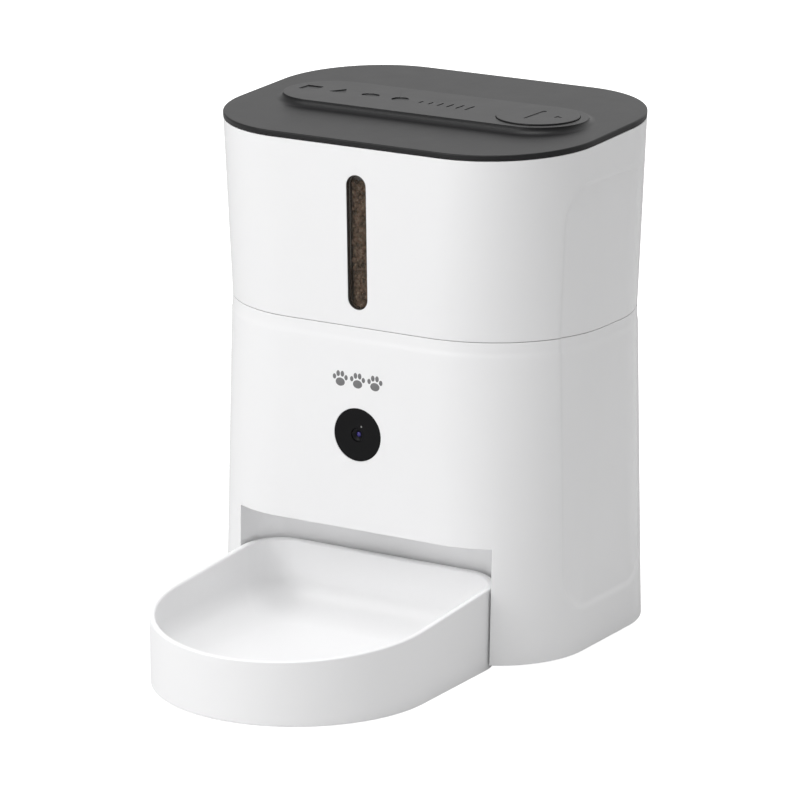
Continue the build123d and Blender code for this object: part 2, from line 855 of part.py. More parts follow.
baffle_level = 167.0
with BuildPart() as flow_baffle:
    with BuildSketch(floor_plane(baffle_level, rotor_y)):
        Circle(housing_radius - housing_wall - 0.1)
        with Locations((0, 40)):
            Rectangle(120, 100, mode=Mode.SUBTRACT)
        Circle(hub_radius + 2, mode=Mode.SUBTRACT)
    extrude(amount=2)
pieces["flow_baffle"] = flow_baffle

with BuildPart() as shaft_bush:
    extrude(
        ring(floor_plane(housing_floor - 1.4, rotor_y), 7, shaft_radius + running_gap), amount=4.8
    )
    extrude(
        ring(floor_plane(housing_floor - 2.8, rotor_y), 9, shaft_radius + running_gap), amount=1.4
    )
pieces["shaft_bush"] = shaft_bush

with BuildPart() as rotor_shaft:
    extrude(discs(floor_plane(gearbox_bottom + 2.2, rotor_y), shaft_radius), amount=65)
    chamfer(rotor_shaft.edges().filter_by(GeomType.CIRCLE), 0.4)
pieces["rotor_shaft"] = rotor_shaft

with BuildPart() as rotor_hub:
    extrude(discs(floor_plane(137.8, rotor_y), hub_radius), amount=29)
    fillet(rotor_hub.faces().sort_by(Axis.Z)[-1].edges(), 2)
    extrude(discs(floor_plane(166, rotor_y), 5), amount=20)
    fillet(rotor_hub.faces().sort_by(Axis.Z)[-1].edges(), 1.5)
    extrude(
        discs(floor_plane(137.8, rotor_y), shaft_radius),
        amount=gearbox_bottom + 67.2 - 137.8,
        mode=Mode.SUBTRACT,
    )
pieces["rotor_hub"] = rotor_hub

with BuildPart() as rotor_vanes:
    for vane in range(vane_count):
        turn = 360 / vane_count * vane
        vane_plane = Plane(floor_plane(vane_bottom, rotor_y).location * Location((0, 0, 0), (0, 0, turn)))
        middle = (hub_radius - 0.5 + vane_reach) / 2
        length = vane_reach - hub_radius + 0.5
        extrude(blocks(vane_plane, length, vane_thickness, [(middle, 0)]), amount=vane_height)
    extrude(ring(floor_plane(vane_bottom, rotor_y), hub_radius + 1.6, hub_radius), amount=vane_height)
    extrude(
        discs(floor_plane(vane_bottom - 1, rotor_y), hub_radius),
        amount=vane_height + 2,
        mode=Mode.SUBTRACT,
    )
pieces["rotor_vanes"] = rotor_vanes

with BuildPart() as agitator:
    extrude(ring(floor_plane(176, rotor_y), 7.5, 5), amount=8)
    for turn in (0, 90):
        arm_plane = Plane(floor_plane(180, rotor_y).location * Location((0, 0, 0), (0, 0, turn)))
        side_plane = Plane(origin=arm_plane.origin, x_dir=arm_plane.y_dir, z_dir=arm_plane.x_dir)
        extrude(discs(side_plane.offset(-27), 2.2), amount=54)
    extrude(discs(floor_plane(170, rotor_y), 5), amount=20, mode=Mode.SUBTRACT)
pieces["agitator"] = agitator

cam_level = 124.0
with BuildPart() as portion_cam:
    with BuildSketch(floor_plane(cam_level, rotor_y)):
        Circle(9)
        with PolarLocations(8.6, vane_count):
            Circle(1.9)
        Circle(shaft_radius, mode=Mode.SUBTRACT)
    extrude(amount=3)
pieces["portion_cam"] = portion_cam

with BuildPart() as portion_switch:
    extrude(blocks(floor_plane(gearbox_top + 2.4, rotor_y), 6, 13, [(17, 4)]), amount=7)
    extrude(blocks(floor_plane(cam_level + 0.6, rotor_y), 0.6, 15, [(13.2, 2.5)]), amount=1.8)
    extrude(discs(floor_plane(cam_level + 0.4, rotor_y), 1.0, [(12.4, -4.4)]), amount=2.2)
    extrude(blocks(floor_plane(cam_level + 0.6, rotor_y), 1.2, 2, [(13.8, 9)]), amount=1.8)
pieces["portion_switch"] = portion_switch

# Chute from the drop hole down to the recess roof
chute_top = ((38.0, 30.0), -25.0, housing_floor)
chute_end = ((47.6, 25.6), -65.0, recess_height + recess_wall)


def chute_section(end, shrink, lift=0.0):
    """One end of the chute: a rectangle with small round corners."""
    (wide, deep), y, level = end
    return rounded_block(floor_plane(level + lift, y), wide - 2 * shrink, deep - 2 * shrink, 3)


with BuildPart() as dispense_chute:
    loft([chute_section(chute_end, 0), chute_section(chute_top, 0)], ruled=True)
    loft(
        [chute_section(chute_end, 1.8), chute_section(chute_top, 1.8)],
        ruled=True,
        mode=Mode.SUBTRACT,
    )
pieces["dispense_chute"] = dispense_chute

sensor_level = 100.0
with BuildPart() as chute_sensors:
    extrude(blocks(floor_plane(sensor_level, -48), 5, 8, [(-25.2, 0), (25.2, 0)]), amount=9)
    for side in (-1, 1):
        eye_plane = Plane(
            origin=(side * 27.7, body_y - 48, sensor_level + 4.5), x_dir=(0, 1, 0), z_dir=(side, 0, 0)
        )
        extrude(blocks(eye_plane, 10, 12), amount=1.2)
pieces["chute_sensors"] = chute_sensors

# ---------------------------------------------------------------- drive
case_length = 66.0
case_width = 52.0
case_x = 3.5
case_y = 16.0
case_floor = gearbox_bottom + gearbox_wall
lid_posts = [(-28.0, 4.0), (28.0, 4.0), (-24.0, 34.0), (24.0, 34.0)]
motor_spot = [(motor_x, 0)]
with BuildPart() as gearbox_case:
    extrude(
        rounded_block(
            floor_plane(gearbox_bottom, case_y), case_width, case_length, 5, (case_x, 0)
        ),
        amount=gearbox_top - gearbox_bottom,
    )
    extrude(
        rounded_block(
            floor_plane(case_floor, case_y),
            case_width - 2 * gearbox_wall,
            case_length - 2 * gearbox_wall,
            3,
            (case_x, 0),
        ),
        amount=gearbox_top,
        mode=Mode.SUBTRACT,
    )
    extrude(ring(floor_plane(case_floor, rotor_y), 6.5, shaft_radius + running_gap), amount=4)
    extrude(
        discs(floor_plane(gearbox_bottom, idler_y), 4.2, motor_spot),
        amount=gearbox_wall,
        mode=Mode.SUBTRACT,
    )
pieces["gearbox_case"] = gearbox_case

with BuildPart() as gearbox_lid:
    with BuildSketch(floor_plane(gearbox_top)):
        with Locations((case_x, case_y)):
            RectangleRounded(case_width, case_length, 5)
        with Locations((0, 19)):
            RectangleRounded(66, 42, 6)
    extrude(amount=2.4)
    extrude(
        discs(floor_plane(gearbox_top + 2.4), 3.4, lid_posts),
        amount=housing_floor - gearbox_top - 2.4,
    )
    extrude(
        discs(floor_plane(gearbox_top - 1, rotor_y), shaft_radius + 0.4),
        amount=5,
        mode=Mode.SUBTRACT,
    )
pieces["gearbox_lid"] = gearbox_lid

with BuildPart() as output_gear:
    extrude(gear_outline(floor_plane(107, rotor_y), output_teeth, 0), amount=6)
    extrude(discs(floor_plane(99, rotor_y), 7), amount=18)
    extrude(discs(floor_plane(98, rotor_y), shaft_radius), amount=20, mode=Mode.SUBTRACT)
pieces["output_gear"] = output_gear

axle_radius = 1.5
with BuildPart() as idler_axle:
    extrude(discs(floor_plane(case_floor, idler_y), axle_radius), amount=gearbox_top - case_floor)
pieces["idler_axle"] = idler_axle

with BuildPart() as idler_gear:
    extrude(gear_outline(floor_plane(98, idler_y), idler_large_teeth, 0), amount=5)
    extrude(gear_outline(floor_plane(102.9, idler_y), idler_small_teeth, 15), amount=11)
    extrude(discs(floor_plane(case_floor + 0.3, idler_y), 3.2), amount=6)
    extrude(
        discs(floor_plane(case_floor, idler_y), axle_radius + running_gap),
        amount=24,
        mode=Mode.SUBTRACT,
    )
pieces["idler_gear"] = idler_gear

motor_top = Plane((motor_x, body_y + idler_y, gearbox_bottom))
pinion_phase = 180 / pinion_teeth
with BuildPart() as motor_pinion:
    extrude(gear_outline(motor_top.offset(5), pinion_teeth, pinion_phase), amount=7)
    extrude(discs(motor_top.offset(-10), 1.0), amount=16)
pieces["motor_pinion"] = motor_pinion

motor_length = gearbox_bottom - motor_bottom
with BuildPart() as drive_motor:
    extrude(discs(motor_top, motor_radius), amount=-motor_length)
    fillet(drive_motor.edges().filter_by(GeomType.CIRCLE), 1.2)
    extrude(discs(motor_top.offset(-1), 4.0), amount=gearbox_wall + 0.6)
    extrude(discs(motor_top.offset(0.5 - motor_length), 3.5), amount=-2)
    extrude(discs(motor_top.offset(-11), 1.0 + running_gap), amount=20, mode=Mode.SUBTRACT)
    tabs = blocks(motor_top.offset(1 - motor_length), 0.5, 2.5, [(-8, 0), (8, 0)])
    extrude(tabs, amount=-5)
pieces["drive_motor"] = drive_motor

# ---------------------------------------------------------------- battery bay and ports
bay_front = rear_bay.offset(-shell_wall - 0.2)
with BuildPart() as battery_box:
    extrude(
        rounded_block(bay_front, bay_width + 2 * bay_wall, bay_height + 2 * bay_wall, 6),
        amount=-bay_depth - bay_wall,
    )
    extrude(
        rounded_block(bay_front, bay_width, bay_height, 4.5), amount=-bay_depth, mode=Mode.SUBTRACT
    )
    # Low ribs between the cells
    extrude(
        blocks(bay_front.offset(-bay_depth - 0.5), 1.6, bay_height + 1, [(-17, 0), (17, 0)]),
        amount=7,
    )
pieces["battery_box"] = battery_box

cell_xs = (-34.0, 0.0, 34.0)
with BuildPart() as battery_contacts:
    for index, cell_x in enumerate(cell_xs):
        plus_up = index % 2 == 0
        for level, is_spring in ((bay_bottom + 0.8, plus_up), (bay_top - 0.8, not plus_up)):
            upward = level < (bay_bottom + bay_top) / 2
            contact_plane = Plane(
                origin=(cell_x, body_y + 65.5, level),
                x_dir=(1, 0, 0),
                z_dir=(0, 0, 1 if upward else -1),
            )
            extrude(rounded_block(contact_plane, 20, 20, 2), amount=0.6)
            if is_spring:
                add(coil(contact_plane.offset(0.8), 6.5, 0.5, 6, 3))
            else:
                extrude(discs(contact_plane.offset(0.4), 3.5), amount=1.2)
pieces["battery_contacts"] = battery_contacts

with BuildPart() as battery_door:
    extrude(rounded_block(rear_bay, bay_width - 0.6, bay_height - 0.6, 4.7), amount=-2.2)
    # Two feet that hook under the sill, a finger scoop and grip ribs
    feet_plane = rear_bay.offset(-2.1)
    feet = blocks(feet_plane, 12, 3, [(-32, 4 - bay_height / 2), (32, 4 - bay_height / 2)])
    extrude(feet, amount=-3)
    with BuildSketch(rear_bay):
        with Locations((0, bay_height / 2 - 12)):
            SlotOverall(30, 9)
    extrude(amount=-0.9, mode=Mode.SUBTRACT)
    grips = blocks(rear_bay.offset(-1), 22, 1.0, [(0, bay_height / 2 - 14 + 2 * k) for k in range(3)])
    extrude(grips, amount=1.0)
pieces["battery_door"] = battery_door

def socket(plane, length, width, depth):
    """A slot-shaped cut at the power inlet."""
    with BuildPart() as cut:
        with BuildSketch(plane):
            with Locations((inlet_x, 0)):
                SlotOverall(length, width)
        extrude(amount=-depth)
    return cut.part


with BuildPart() as power_inlet:
    extrude(blocks(rear_lower.offset(-shell_wall - 0.2), 14, 9, [(inlet_x, 0)]), amount=-10)
    add(socket(rear_lower.offset(-0.8), 11.6, 6.2, 4))
    add(socket(rear_lower, 9.0, 3.2, 9), mode=Mode.SUBTRACT)
    extrude(blocks(rear_lower.offset(-2.4), 6.2, 0.7, [(inlet_x, 0)]), amount=-8)
pieces["power_inlet"] = power_inlet

with BuildPart() as pair_button:
    extrude(discs(rear_lower.offset(0.6), 3.0, [(pair_x, 0)]), amount=-5.6)
    fillet(pair_button.faces().sort_by(Axis.Y)[-1].edges(), 0.5)
    extrude(discs(rear_lower.offset(-shell_wall - 0.3), 4.4, [(pair_x, 0)]), amount=-1.2)
pieces["pair_button"] = pair_button

with BuildPart() as rear_board:
    extrude(rounded_block(rear_lower.offset(-14.8), 46, 22, 1.5, (-26, 0)), amount=-1.4)
    extrude(blocks(rear_lower.offset(-11.4), 6, 6, [(pair_x, 0)]), amount=-3.4)
    extrude(discs(rear_lower.offset(-7.2), 1.6, [(pair_x, 0)]), amount=-4.2)
pieces["rear_board"] = rear_board

# ---------------------------------------------------------------- electronics
with BuildPart() as main_pcb:
    with BuildSketch(floor_plane(pcb_level)):
        with Locations((0, -3)):
            RectangleRounded(124, 78, 3)
        with Locations(*standoff_spots):
            Circle(1.6, mode=Mode.SUBTRACT)
    extrude(amount=1.6)
pieces["main_pcb"] = main_pcb

chip_level = pcb_level + 1.6
with BuildPart() as pcb_components:
    extrude(rounded_block(floor_plane(chip_level), 14, 14, 0.8, (-10, -8)), amount=1.6)
    extrude(rounded_block(floor_plane(chip_level), 18, 24, 0.8, (36, -14)), amount=3)
    extrude(rounded_block(floor_plane(chip_level), 9, 7, 0.6, (-34, -20)), amount=1.5)
    extrude(discs(floor_plane(chip_level), 4.0, [(-46, 10), (-34, 12)]), amount=11)
    extrude(blocks(floor_plane(chip_level), 12, 6, [(-8, 24), (10, 24), (28, 24)]), amount=6)
    extrude(blocks(floor_plane(chip_level), 2, 1.2, [(4 + 4 * k, 4) for k in range(6)]), amount=0.8)
pieces["pcb_components"] = pcb_components

with BuildPart() as pcb_screws:
    extrude(discs(floor_plane(chip_level), 2.6, standoff_spots), amount=1.4)
    fillet(pcb_screws.faces().group_by(Axis.Z)[-1].edges(), 0.5)
    extrude(discs(floor_plane(chip_level - 9), 1.15, standoff_spots), amount=9.5)
pieces["pcb_screws"] = pcb_screws

with BuildPart() as speaker:
    speaker_plane = Plane((speaker_spot[0], body_y + speaker_spot[1], plate_top))
    extrude(ring(speaker_plane, 19, 15.5), amount=2)
    loft([discs(speaker_plane.offset(0.8), 16), discs(speaker_plane.offset(7), 8)], ruled=True)
    extrude(discs(speaker_plane.offset(6.8), 9.5), amount=6)
    fillet(speaker.faces().sort_by(Axis.Z)[-1].edges(), 0.8)
pieces["speaker"] = speaker

# ---------------------------------------------------------------- bowl
with BuildPart() as dish:
    extrude(bowl_section(dish_floor, bowl_rim_width), amount=60)
    fillet(dish.faces().sort_by(Axis.Z)[0].edges(), dish_fillet)

with BuildPart() as dish_skin:
    extrude(bowl_section(dish_floor - bowl_wall, bowl_rim_width - bowl_wall), amount=60)
    fillet(dish_skin.faces().sort_by(Axis.Z)[0].edges(), dish_fillet + bowl_wall)

with BuildPart() as under_bowl:
    extrude(bowl_section(bowl_foot - 1, bowl_wall), amount=60)
    split(bisect_by=bowl_rim_plane.offset(-bowl_wall), keep=Keep.BOTTOM)
    add(dish_skin.part, mode=Mode.SUBTRACT)

bowl_pads = [(side * x, y) for side in (-1, 1) for x, y in ((52.0, -80.0), (40.0, -190.0))]
with BuildPart() as bowl:
    extrude(bowl_section(bowl_foot), amount=60)
    split(bisect_by=bowl_rim_plane, keep=Keep.BOTTOM)
    add(dish.part, mode=Mode.SUBTRACT)
    add(under_bowl.part, mode=Mode.SUBTRACT)
    extrude(discs(floor_plane(bowl_foot), 6, bowl_pads), amount=dish_floor - 1 - bowl_foot)
pieces["bowl"] = bowl

with BuildPart() as bowl_feet:
    extrude(discs(floor_plane(0), 5, bowl_pads), amount=bowl_foot)
pieces["bowl_feet"] = bowl_feet

# ---------------------------------------------------------------- export
for name, piece in pieces.items():
    piece.part.label = name
    export_step(piece.part, f"parts/{name}.step")
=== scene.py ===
import json
import math
import random

import bmesh
import bpy
from mathutils import Euler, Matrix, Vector, noise


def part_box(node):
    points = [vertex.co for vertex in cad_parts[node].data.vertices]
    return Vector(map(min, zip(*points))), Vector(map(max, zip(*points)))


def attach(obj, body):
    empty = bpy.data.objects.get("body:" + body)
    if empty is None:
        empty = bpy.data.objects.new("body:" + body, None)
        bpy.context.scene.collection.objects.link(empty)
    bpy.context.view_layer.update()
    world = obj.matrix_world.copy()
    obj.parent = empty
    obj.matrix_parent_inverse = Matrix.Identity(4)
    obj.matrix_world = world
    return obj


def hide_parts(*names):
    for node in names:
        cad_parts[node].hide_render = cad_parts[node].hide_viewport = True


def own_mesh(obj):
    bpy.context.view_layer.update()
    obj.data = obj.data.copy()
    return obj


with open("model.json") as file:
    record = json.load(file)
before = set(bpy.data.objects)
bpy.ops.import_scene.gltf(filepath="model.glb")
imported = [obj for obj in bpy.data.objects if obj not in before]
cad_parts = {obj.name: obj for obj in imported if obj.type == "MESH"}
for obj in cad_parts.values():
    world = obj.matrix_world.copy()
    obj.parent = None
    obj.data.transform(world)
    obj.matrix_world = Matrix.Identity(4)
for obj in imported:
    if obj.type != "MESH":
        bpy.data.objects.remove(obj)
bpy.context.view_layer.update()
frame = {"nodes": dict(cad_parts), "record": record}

# Metres, +Z up, floor at Z = 0, front towards -Y, in the CAD model's own frame.
MM = 0.001
BODY_HALF_DEPTH = 86.0 * MM
BODY_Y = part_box("body_shell")[1].y - BODY_HALF_DEPTH
nodes = frame["nodes"]


# ---------------------------------------------------------------- camera, light and floor
def aim(thing, place, target):
    """Puts a camera or lamp at a place, facing a target."""
    thing.location = place
    thing.rotation_mode = "QUATERNION"
    thing.rotation_quaternion = (Vector(target) - Vector(place)).to_track_quat("-Z", "Y")


def add_camera(azimuth, elevation, distance, target, lens):
    """The view: azimuth turns from the front towards +X, elevation lifts, both in degrees."""
    data = bpy.data.cameras.new("camera")
    data.lens = lens
    data.sensor_width = 36.0
    data.clip_end = 50.0
    camera = bpy.data.objects.new("camera", data)
    bpy.context.scene.collection.objects.link(camera)
    turn, lift = math.radians(azimuth), math.radians(elevation)
    back = Vector(
        (math.sin(turn) * math.cos(lift), -math.cos(turn) * math.cos(lift), math.sin(lift))
    )
    aim(camera, Vector(target) + back * distance, target)
    bpy.context.scene.camera = camera


def add_softbox(name, place, target, width, height, power):
    """A rectangular area lamp that faces a target."""
    data = bpy.data.lights.new(name, "AREA")
    data.shape = "RECTANGLE"
    data.size = width
    data.size_y = height
    data.energy = power
    lamp = bpy.data.objects.new(name, data)
    bpy.context.scene.collection.objects.link(lamp)
    aim(lamp, place, target)


def add_world(front, back):
    """White where the camera looks past the floor, elsewhere soft light that grows to the back."""
    world = bpy.data.worlds.new("studio")
    bpy.context.scene.world = world
    world.use_nodes = True
    tree = world.node_tree
    tree.nodes.clear()
    coords = tree.nodes.new("ShaderNodeTexCoord")
    split = tree.nodes.new("ShaderNodeSeparateXYZ")
    tree.links.new(coords.outputs["Generated"], split.inputs[0])
    level = tree.nodes.new("ShaderNodeMapRange")
    level.inputs["From Min"].default_value = 0.3
    level.inputs["From Max"].default_value = 0.95
    level.inputs["To Min"].default_value = front
    level.inputs["To Max"].default_value = back
    tree.links.new(split.outputs["Y"], level.inputs["Value"])
    glow = tree.nodes.new("ShaderNodeBackground")
    tree.links.new(level.outputs[0], glow.inputs["Strength"])
    backdrop = tree.nodes.new("ShaderNodeBackground")
    backdrop.inputs["Strength"].default_value = 1.0
    backdrop.inputs["Color"].default_value = (1, 1, 1, 1)
    path = tree.nodes.new("ShaderNodeLightPath")
    chooser = tree.nodes.new("ShaderNodeMixShader")
    tree.links.new(path.outputs["Is Camera Ray"], chooser.inputs[0])
    tree.links.new(glow.outputs[0], chooser.inputs[1])
    tree.links.new(backdrop.outputs[0], chooser.inputs[2])
    output = tree.nodes.new("ShaderNodeOutputWorld")
    tree.links.new(chooser.outputs[0], output.inputs["Surface"])


def add_floor(size, tone):
    """A plain floor: white to the camera, and softer in the light that it throws back."""
    mesh = bpy.data.meshes.new("studio_floor")
    half = size / 2
    corners = [(-half, -half, 0), (half, -half, 0), (half, half, 0), (-half, half, 0)]
    mesh.from_pydata(corners, [], [(0, 1, 2, 3)])
    floor = bpy.data.objects.new("studio_floor", mesh)
    bpy.context.scene.collection.objects.link(floor)
    material = bpy.data.materials.new("studio_floor")
    material.use_nodes = True
    shader = material.node_tree.nodes["Principled BSDF"]
    shader.inputs["Base Color"].default_value = (tone, tone, tone, 1)
    shader.inputs["Roughness"].default_value = 0.9
    shader.inputs["Specular IOR Level"].default_value = 0.1
    shader.inputs["Emission Color"].default_value = (1, 1, 1, 1)
    path = material.node_tree.nodes.new("ShaderNodeLightPath")
    material.node_tree.links.new(path.outputs["Is Camera Ray"], shader.inputs["Emission Strength"])
    mesh.materials.append(material)


VIEW_TARGET = (-0.0235, 0.07375, 0.1287)
add_camera(31.683, 15.35, 2.88, VIEW_TARGET, 217.56)
add_world(0.54, 1.6)
add_floor(30.0, 0.68)
add_softbox("key", (-1.15, -1.5, 1.6), (0, 0, 0.15), 1.6, 1.2, 18.3)
add_softbox("top", (0.0, -0.5, 2.3), (0, -0.05, 0.1), 1.2, 1.2, 25)
add_softbox("fill", (-0.4, -2.6, 0.5), (0, 0, 0.08), 1.4, 0.6, 7)
add_softbox("strip", (-0.75, -1.86, 0.3), (0.05, -0.01, 0.1), 0.28, 1.8, 2.5)
bpy.context.scene.view_settings.view_transform = "Standard"


# ---------------------------------------------------------------- materials
class Finish:
    """A node material under construction: one Principled shader and its textures."""

    def __init__(self, name):
        self.material = bpy.data.materials.new(name)
        self.material.use_nodes = True
        self.tree = self.material.node_tree
        self.shader = self.tree.nodes["Principled BSDF"]
        coords = self.tree.nodes.new("ShaderNodeTexCoord")
        self.place = coords.outputs["Object"]

    def set(self, **values):
        """Sets the shader's own sockets, named with underscores for spaces."""
        for key, value in values.items():
            self.shader.inputs[key.replace("_", " ")].default_value = value
        return self

    def node(self, kind, **settings):
        made = self.tree.nodes.new(kind)
        for key, value in settings.items():
            setattr(made, key, value)
        return made

    def noise(self, per_metre, detail=2.0, roughness=0.5, stretch=None):
        """Noise with that many grains in a metre, optionally stretched along an axis."""
        texture = self.node("ShaderNodeTexNoise")
        texture.inputs["Scale"].default_value = per_metre
        texture.inputs["Detail"].default_value = detail
        texture.inputs["Roughness"].default_value = roughness
        source = self.place
        if stretch:
            mapping = self.node("ShaderNodeMapping")
            mapping.inputs["Scale"].default_value = stretch
            self.tree.links.new(self.place, mapping.inputs["Vector"])
            source = mapping.outputs[0]
        self.tree.links.new(source, texture.inputs["Vector"])
        return texture.outputs["Fac"]

    def graded(self, value, low, high, start=0.3, end=0.7):
        """A number that follows a texture between two limits."""
        ramp = self.node("ShaderNodeMapRange")
        ramp.inputs["From Min"].default_value = start
        ramp.inputs["From Max"].default_value = end
        ramp.inputs["To Min"].default_value = low
        ramp.inputs["To Max"].default_value = high
        self.tree.links.new(value, ramp.inputs["Value"])
        return ramp.outputs[0]

    def colours(self, value, stops):
        """A colour ramp: (position, (r, g, b)) stops along a texture."""
        ramp = self.node("ShaderNodeValToRGB")
        points = ramp.color_ramp.elements
        while len(points) < len(stops):
            points.new(0.5)
        for point, (position, colour) in zip(points, stops):
            point.position = position
            point.color = (*colour, 1)
        self.tree.links.new(value, ramp.inputs["Fac"])
        return ramp.outputs["Color"]

    def link(self, output, socket):
        self.tree.links.new(output, self.shader.inputs[socket])
        return self

    def bump(self, *layers):
        """Bump layers (height, depth in metres), the coarsest first."""
        normal = None
        for height, depth in layers:
            node = self.node("ShaderNodeBump")
            node.inputs["Strength"].default_value = 1.0
            node.inputs["Distance"].default_value = depth
            self.tree.links.new(height, node.inputs["Height"])
            if normal:
                self.tree.links.new(normal, node.inputs["Normal"])
            normal = node.outputs[0]
        self.tree.links.new(normal, self.shader.inputs["Normal"])
        return self


def tinted(colour, factor):
    """The colour made lighter or darker."""
    return tuple(min(1.0, c * factor) for c in colour)


def plastic(name, colour, roughness, unevenness=0.05, mottling=0.02, grain=2500, depth=2e-6,
            waviness=0.0, **sockets):
    """Moulded plastic: faint colour drift, a fine mould grain and a slightly uneven gloss."""
    finish = Finish(name)
    drift = finish.noise(14, 3)
    finish.link(
        finish.colours(
            drift, [(0.1, tinted(colour, 1 - mottling)), (0.9, tinted(colour, 1 + mottling))]
        ),
        "Base Color",
    )
    smudge = finish.noise(55, 4, 0.6)
    gloss = finish.graded(smudge, roughness - unevenness, roughness + unevenness, 0, 1)
    finish.link(gloss, "Roughness")
    layers = [(finish.noise(grain, 2), depth)]
    if waviness:
        layers.insert(0, (finish.noise(26, 1), waviness))
    return finish.bump(*layers).set(**sockets).material


def metal(name, colour, roughness, grain=900, stretch=(1, 1, 8)):
    """Drawn or plated metal: fine lines along one direction."""
    finish = Finish(name)
    lines = finish.noise(grain, 3, 0.6, stretch)
    finish.link(
        finish.colours(lines, [(0.3, tinted(colour, 0.82)), (0.7, tinted(colour, 1.1))]), "Base Color"
    )
    finish.link(finish.graded(lines, roughness - 0.07, roughness + 0.09), "Roughness")
    return finish.bump((lines, 4e-6)).set(Metallic=1.0).material


def rubber(name, colour, roughness=0.75):
    """Soft rubber or silicone: matt, with a powdery grain."""
    finish = Finish(name)
    drift = finish.noise(90, 5, 0.7)
    finish.link(
        finish.colours(drift, [(0.3, tinted(colour, 0.85)), (0.7, tinted(colour, 1.15))]), "Base Color"
    )
    finish.link(finish.graded(drift, roughness - 0.08, roughness + 0.08), "Roughness")
    return finish.bump((finish.noise(1800, 3), 6e-6)).set(Sheen_Weight=0.08).material


def glass(name, colour, alpha, roughness=0.06, **sockets):
    """Tinted clear plastic or coated glass."""
    finish = Finish(name)
    drift = finish.noise(40, 2)
    finish.link(
        finish.colours(drift, [(0.3, tinted(colour, 0.92)), (0.7, tinted(colour, 1.08))]), "Base Color"
    )
    finish.link(finish.graded(drift, roughness, roughness + 0.04), "Roughness")
    finish.bump((finish.noise(60, 1), 3e-6))
    return finish.set(Alpha=alpha, **sockets).material


def circuit_board(name):
    """Solder mask over copper tracks."""
    finish = Finish(name)
    brick = finish.node("ShaderNodeTexBrick", offset=0.5)
    brick.inputs["Scale"].default_value = 240
    brick.inputs["Mortar Size"].default_value = 0.06
    brick.inputs["Color1"].default_value = (0.018, 0.16, 0.075, 1)
    brick.inputs["Color2"].default_value = (0.022, 0.19, 0.09, 1)
    brick.inputs["Mortar"].default_value = (0.05, 0.30, 0.14, 1)
    finish.tree.links.new(finish.place, brick.inputs["Vector"])
    finish.link(brick.outputs["Color"], "Base Color")
    finish.link(finish.graded(brick.outputs["Fac"], 0.32, 0.45, 0, 1), "Roughness")
    return finish.bump((brick.outputs["Fac"], 2e-5)).material


def kibble_crust(name):
    """Dry pet food: brown with reddish and pale pellets, and a crumbly crust."""
    finish = Finish(name)
    drift = finish.noise(330, 2)
    stops = [(0.34, (0.19, 0.135, 0.095)), (0.46, (0.42, 0.31, 0.21)), (0.56, (0.48, 0.29, 0.20)),
             (0.68, (0.66, 0.53, 0.38))]
    finish.link(finish.colours(drift, stops), "Base Color")
    return finish.bump((finish.noise(1500, 4, 0.6), 8e-5)).set(Roughness=0.8).material


def woven(name, colour):
    """Non-woven bag: crossed fibres."""
    finish = Finish(name)
    fibres = finish.noise(700, 5, 0.7, (1, 4, 1))
    finish.link(
        finish.colours(fibres, [(0.3, tinted(colour, 0.75)), (0.7, tinted(colour, 1.05))]), "Base Color"
    )
    return finish.bump((fibres, 5e-5)).set(Roughness=0.9, Sheen_Weight=0.3).material


WHITE = (0.84, 0.84, 0.845)
MATERIALS = {
    "white_gloss": plastic("white_gloss", WHITE, 0.26, 0.015, 0.004, 3000, 4e-7, 3e-6),
    "bowl_white": plastic("bowl_white", (0.88, 0.88, 0.885), 0.36, 0.015, 0.004, 3000, 6e-7, 3e-6),
    "lid_charcoal": plastic("lid_charcoal", (0.006, 0.006, 0.0065), 0.45, 0.02, 0.05, 2600, 5e-6,
                            Specular_IOR_Level=0.32),
    "smoke_window": glass("smoke_window", (0.035, 0.026, 0.018), 0.36, Specular_IOR_Level=0.25),
    "tank_white": plastic("tank_white", (0.72, 0.73, 0.73), 0.42, 0.05, 0.02,
                          Subsurface_Weight=0.1),
    "inner_grey": plastic("inner_grey", (0.36, 0.365, 0.37), 0.5, 0.05, 0.03, 1600, 8e-6),
    "camera_black": plastic("camera_black", (0.006, 0.006, 0.0065), 0.12, 0.02, 0.05, 3000, 2e-7,
                            Specular_IOR_Level=0.1),
    "lens_black": plastic("lens_black", (0.006, 0.006, 0.007), 0.4, 0.05, 0.05,
                          Specular_IOR_Level=0.15),
    "lens_glass": glass("lens_glass", (0.035, 0.025, 0.14), 0.95, 0.03, Coat_Weight=0.8,
                        Coat_Roughness=0.03, Coat_Tint=(0.45, 0.35, 1.0, 1.0)),
    "foot_rubber": rubber("foot_rubber", (0.035, 0.035, 0.036)),
    "seal_silicone": rubber("seal_silicone", (0.45, 0.46, 0.47), 0.6),
    "vane_silicone": rubber("vane_silicone", (0.70, 0.20, 0.04), 0.55),
    "screw_steel": metal("screw_steel", (0.56, 0.56, 0.57), 0.32),
    "spring_steel": metal("spring_steel", (0.42, 0.42, 0.43), 0.28),
    "contact_nickel": metal("contact_nickel", (0.66, 0.64, 0.58), 0.18, 500),
    "bush_brass": metal("bush_brass", (0.62, 0.42, 0.16), 0.24, 700, (8, 8, 1)),
    "gear_acetal": plastic("gear_acetal", (0.74, 0.70, 0.62), 0.4, 0.05, 0.03, 1800, 4e-6),
    "pcb_green": circuit_board("pcb_green"),
    "chip_black": plastic("chip_black", (0.022, 0.022, 0.024), 0.55, 0.06, 0.1, 2400, 8e-6),
    "speaker_black": plastic("speaker_black", (0.03, 0.03, 0.032), 0.6, 0.08, 0.15, 900, 3e-5),
    "bag_fabric": woven("bag_fabric", (0.78, 0.78, 0.75)),
    "kibble_brown": kibble_crust("kibble_brown"),
    "print_grey": plastic("print_grey", (0.16, 0.16, 0.162), 0.5, 0.04, 0.03, 3000, 1e-6),
}

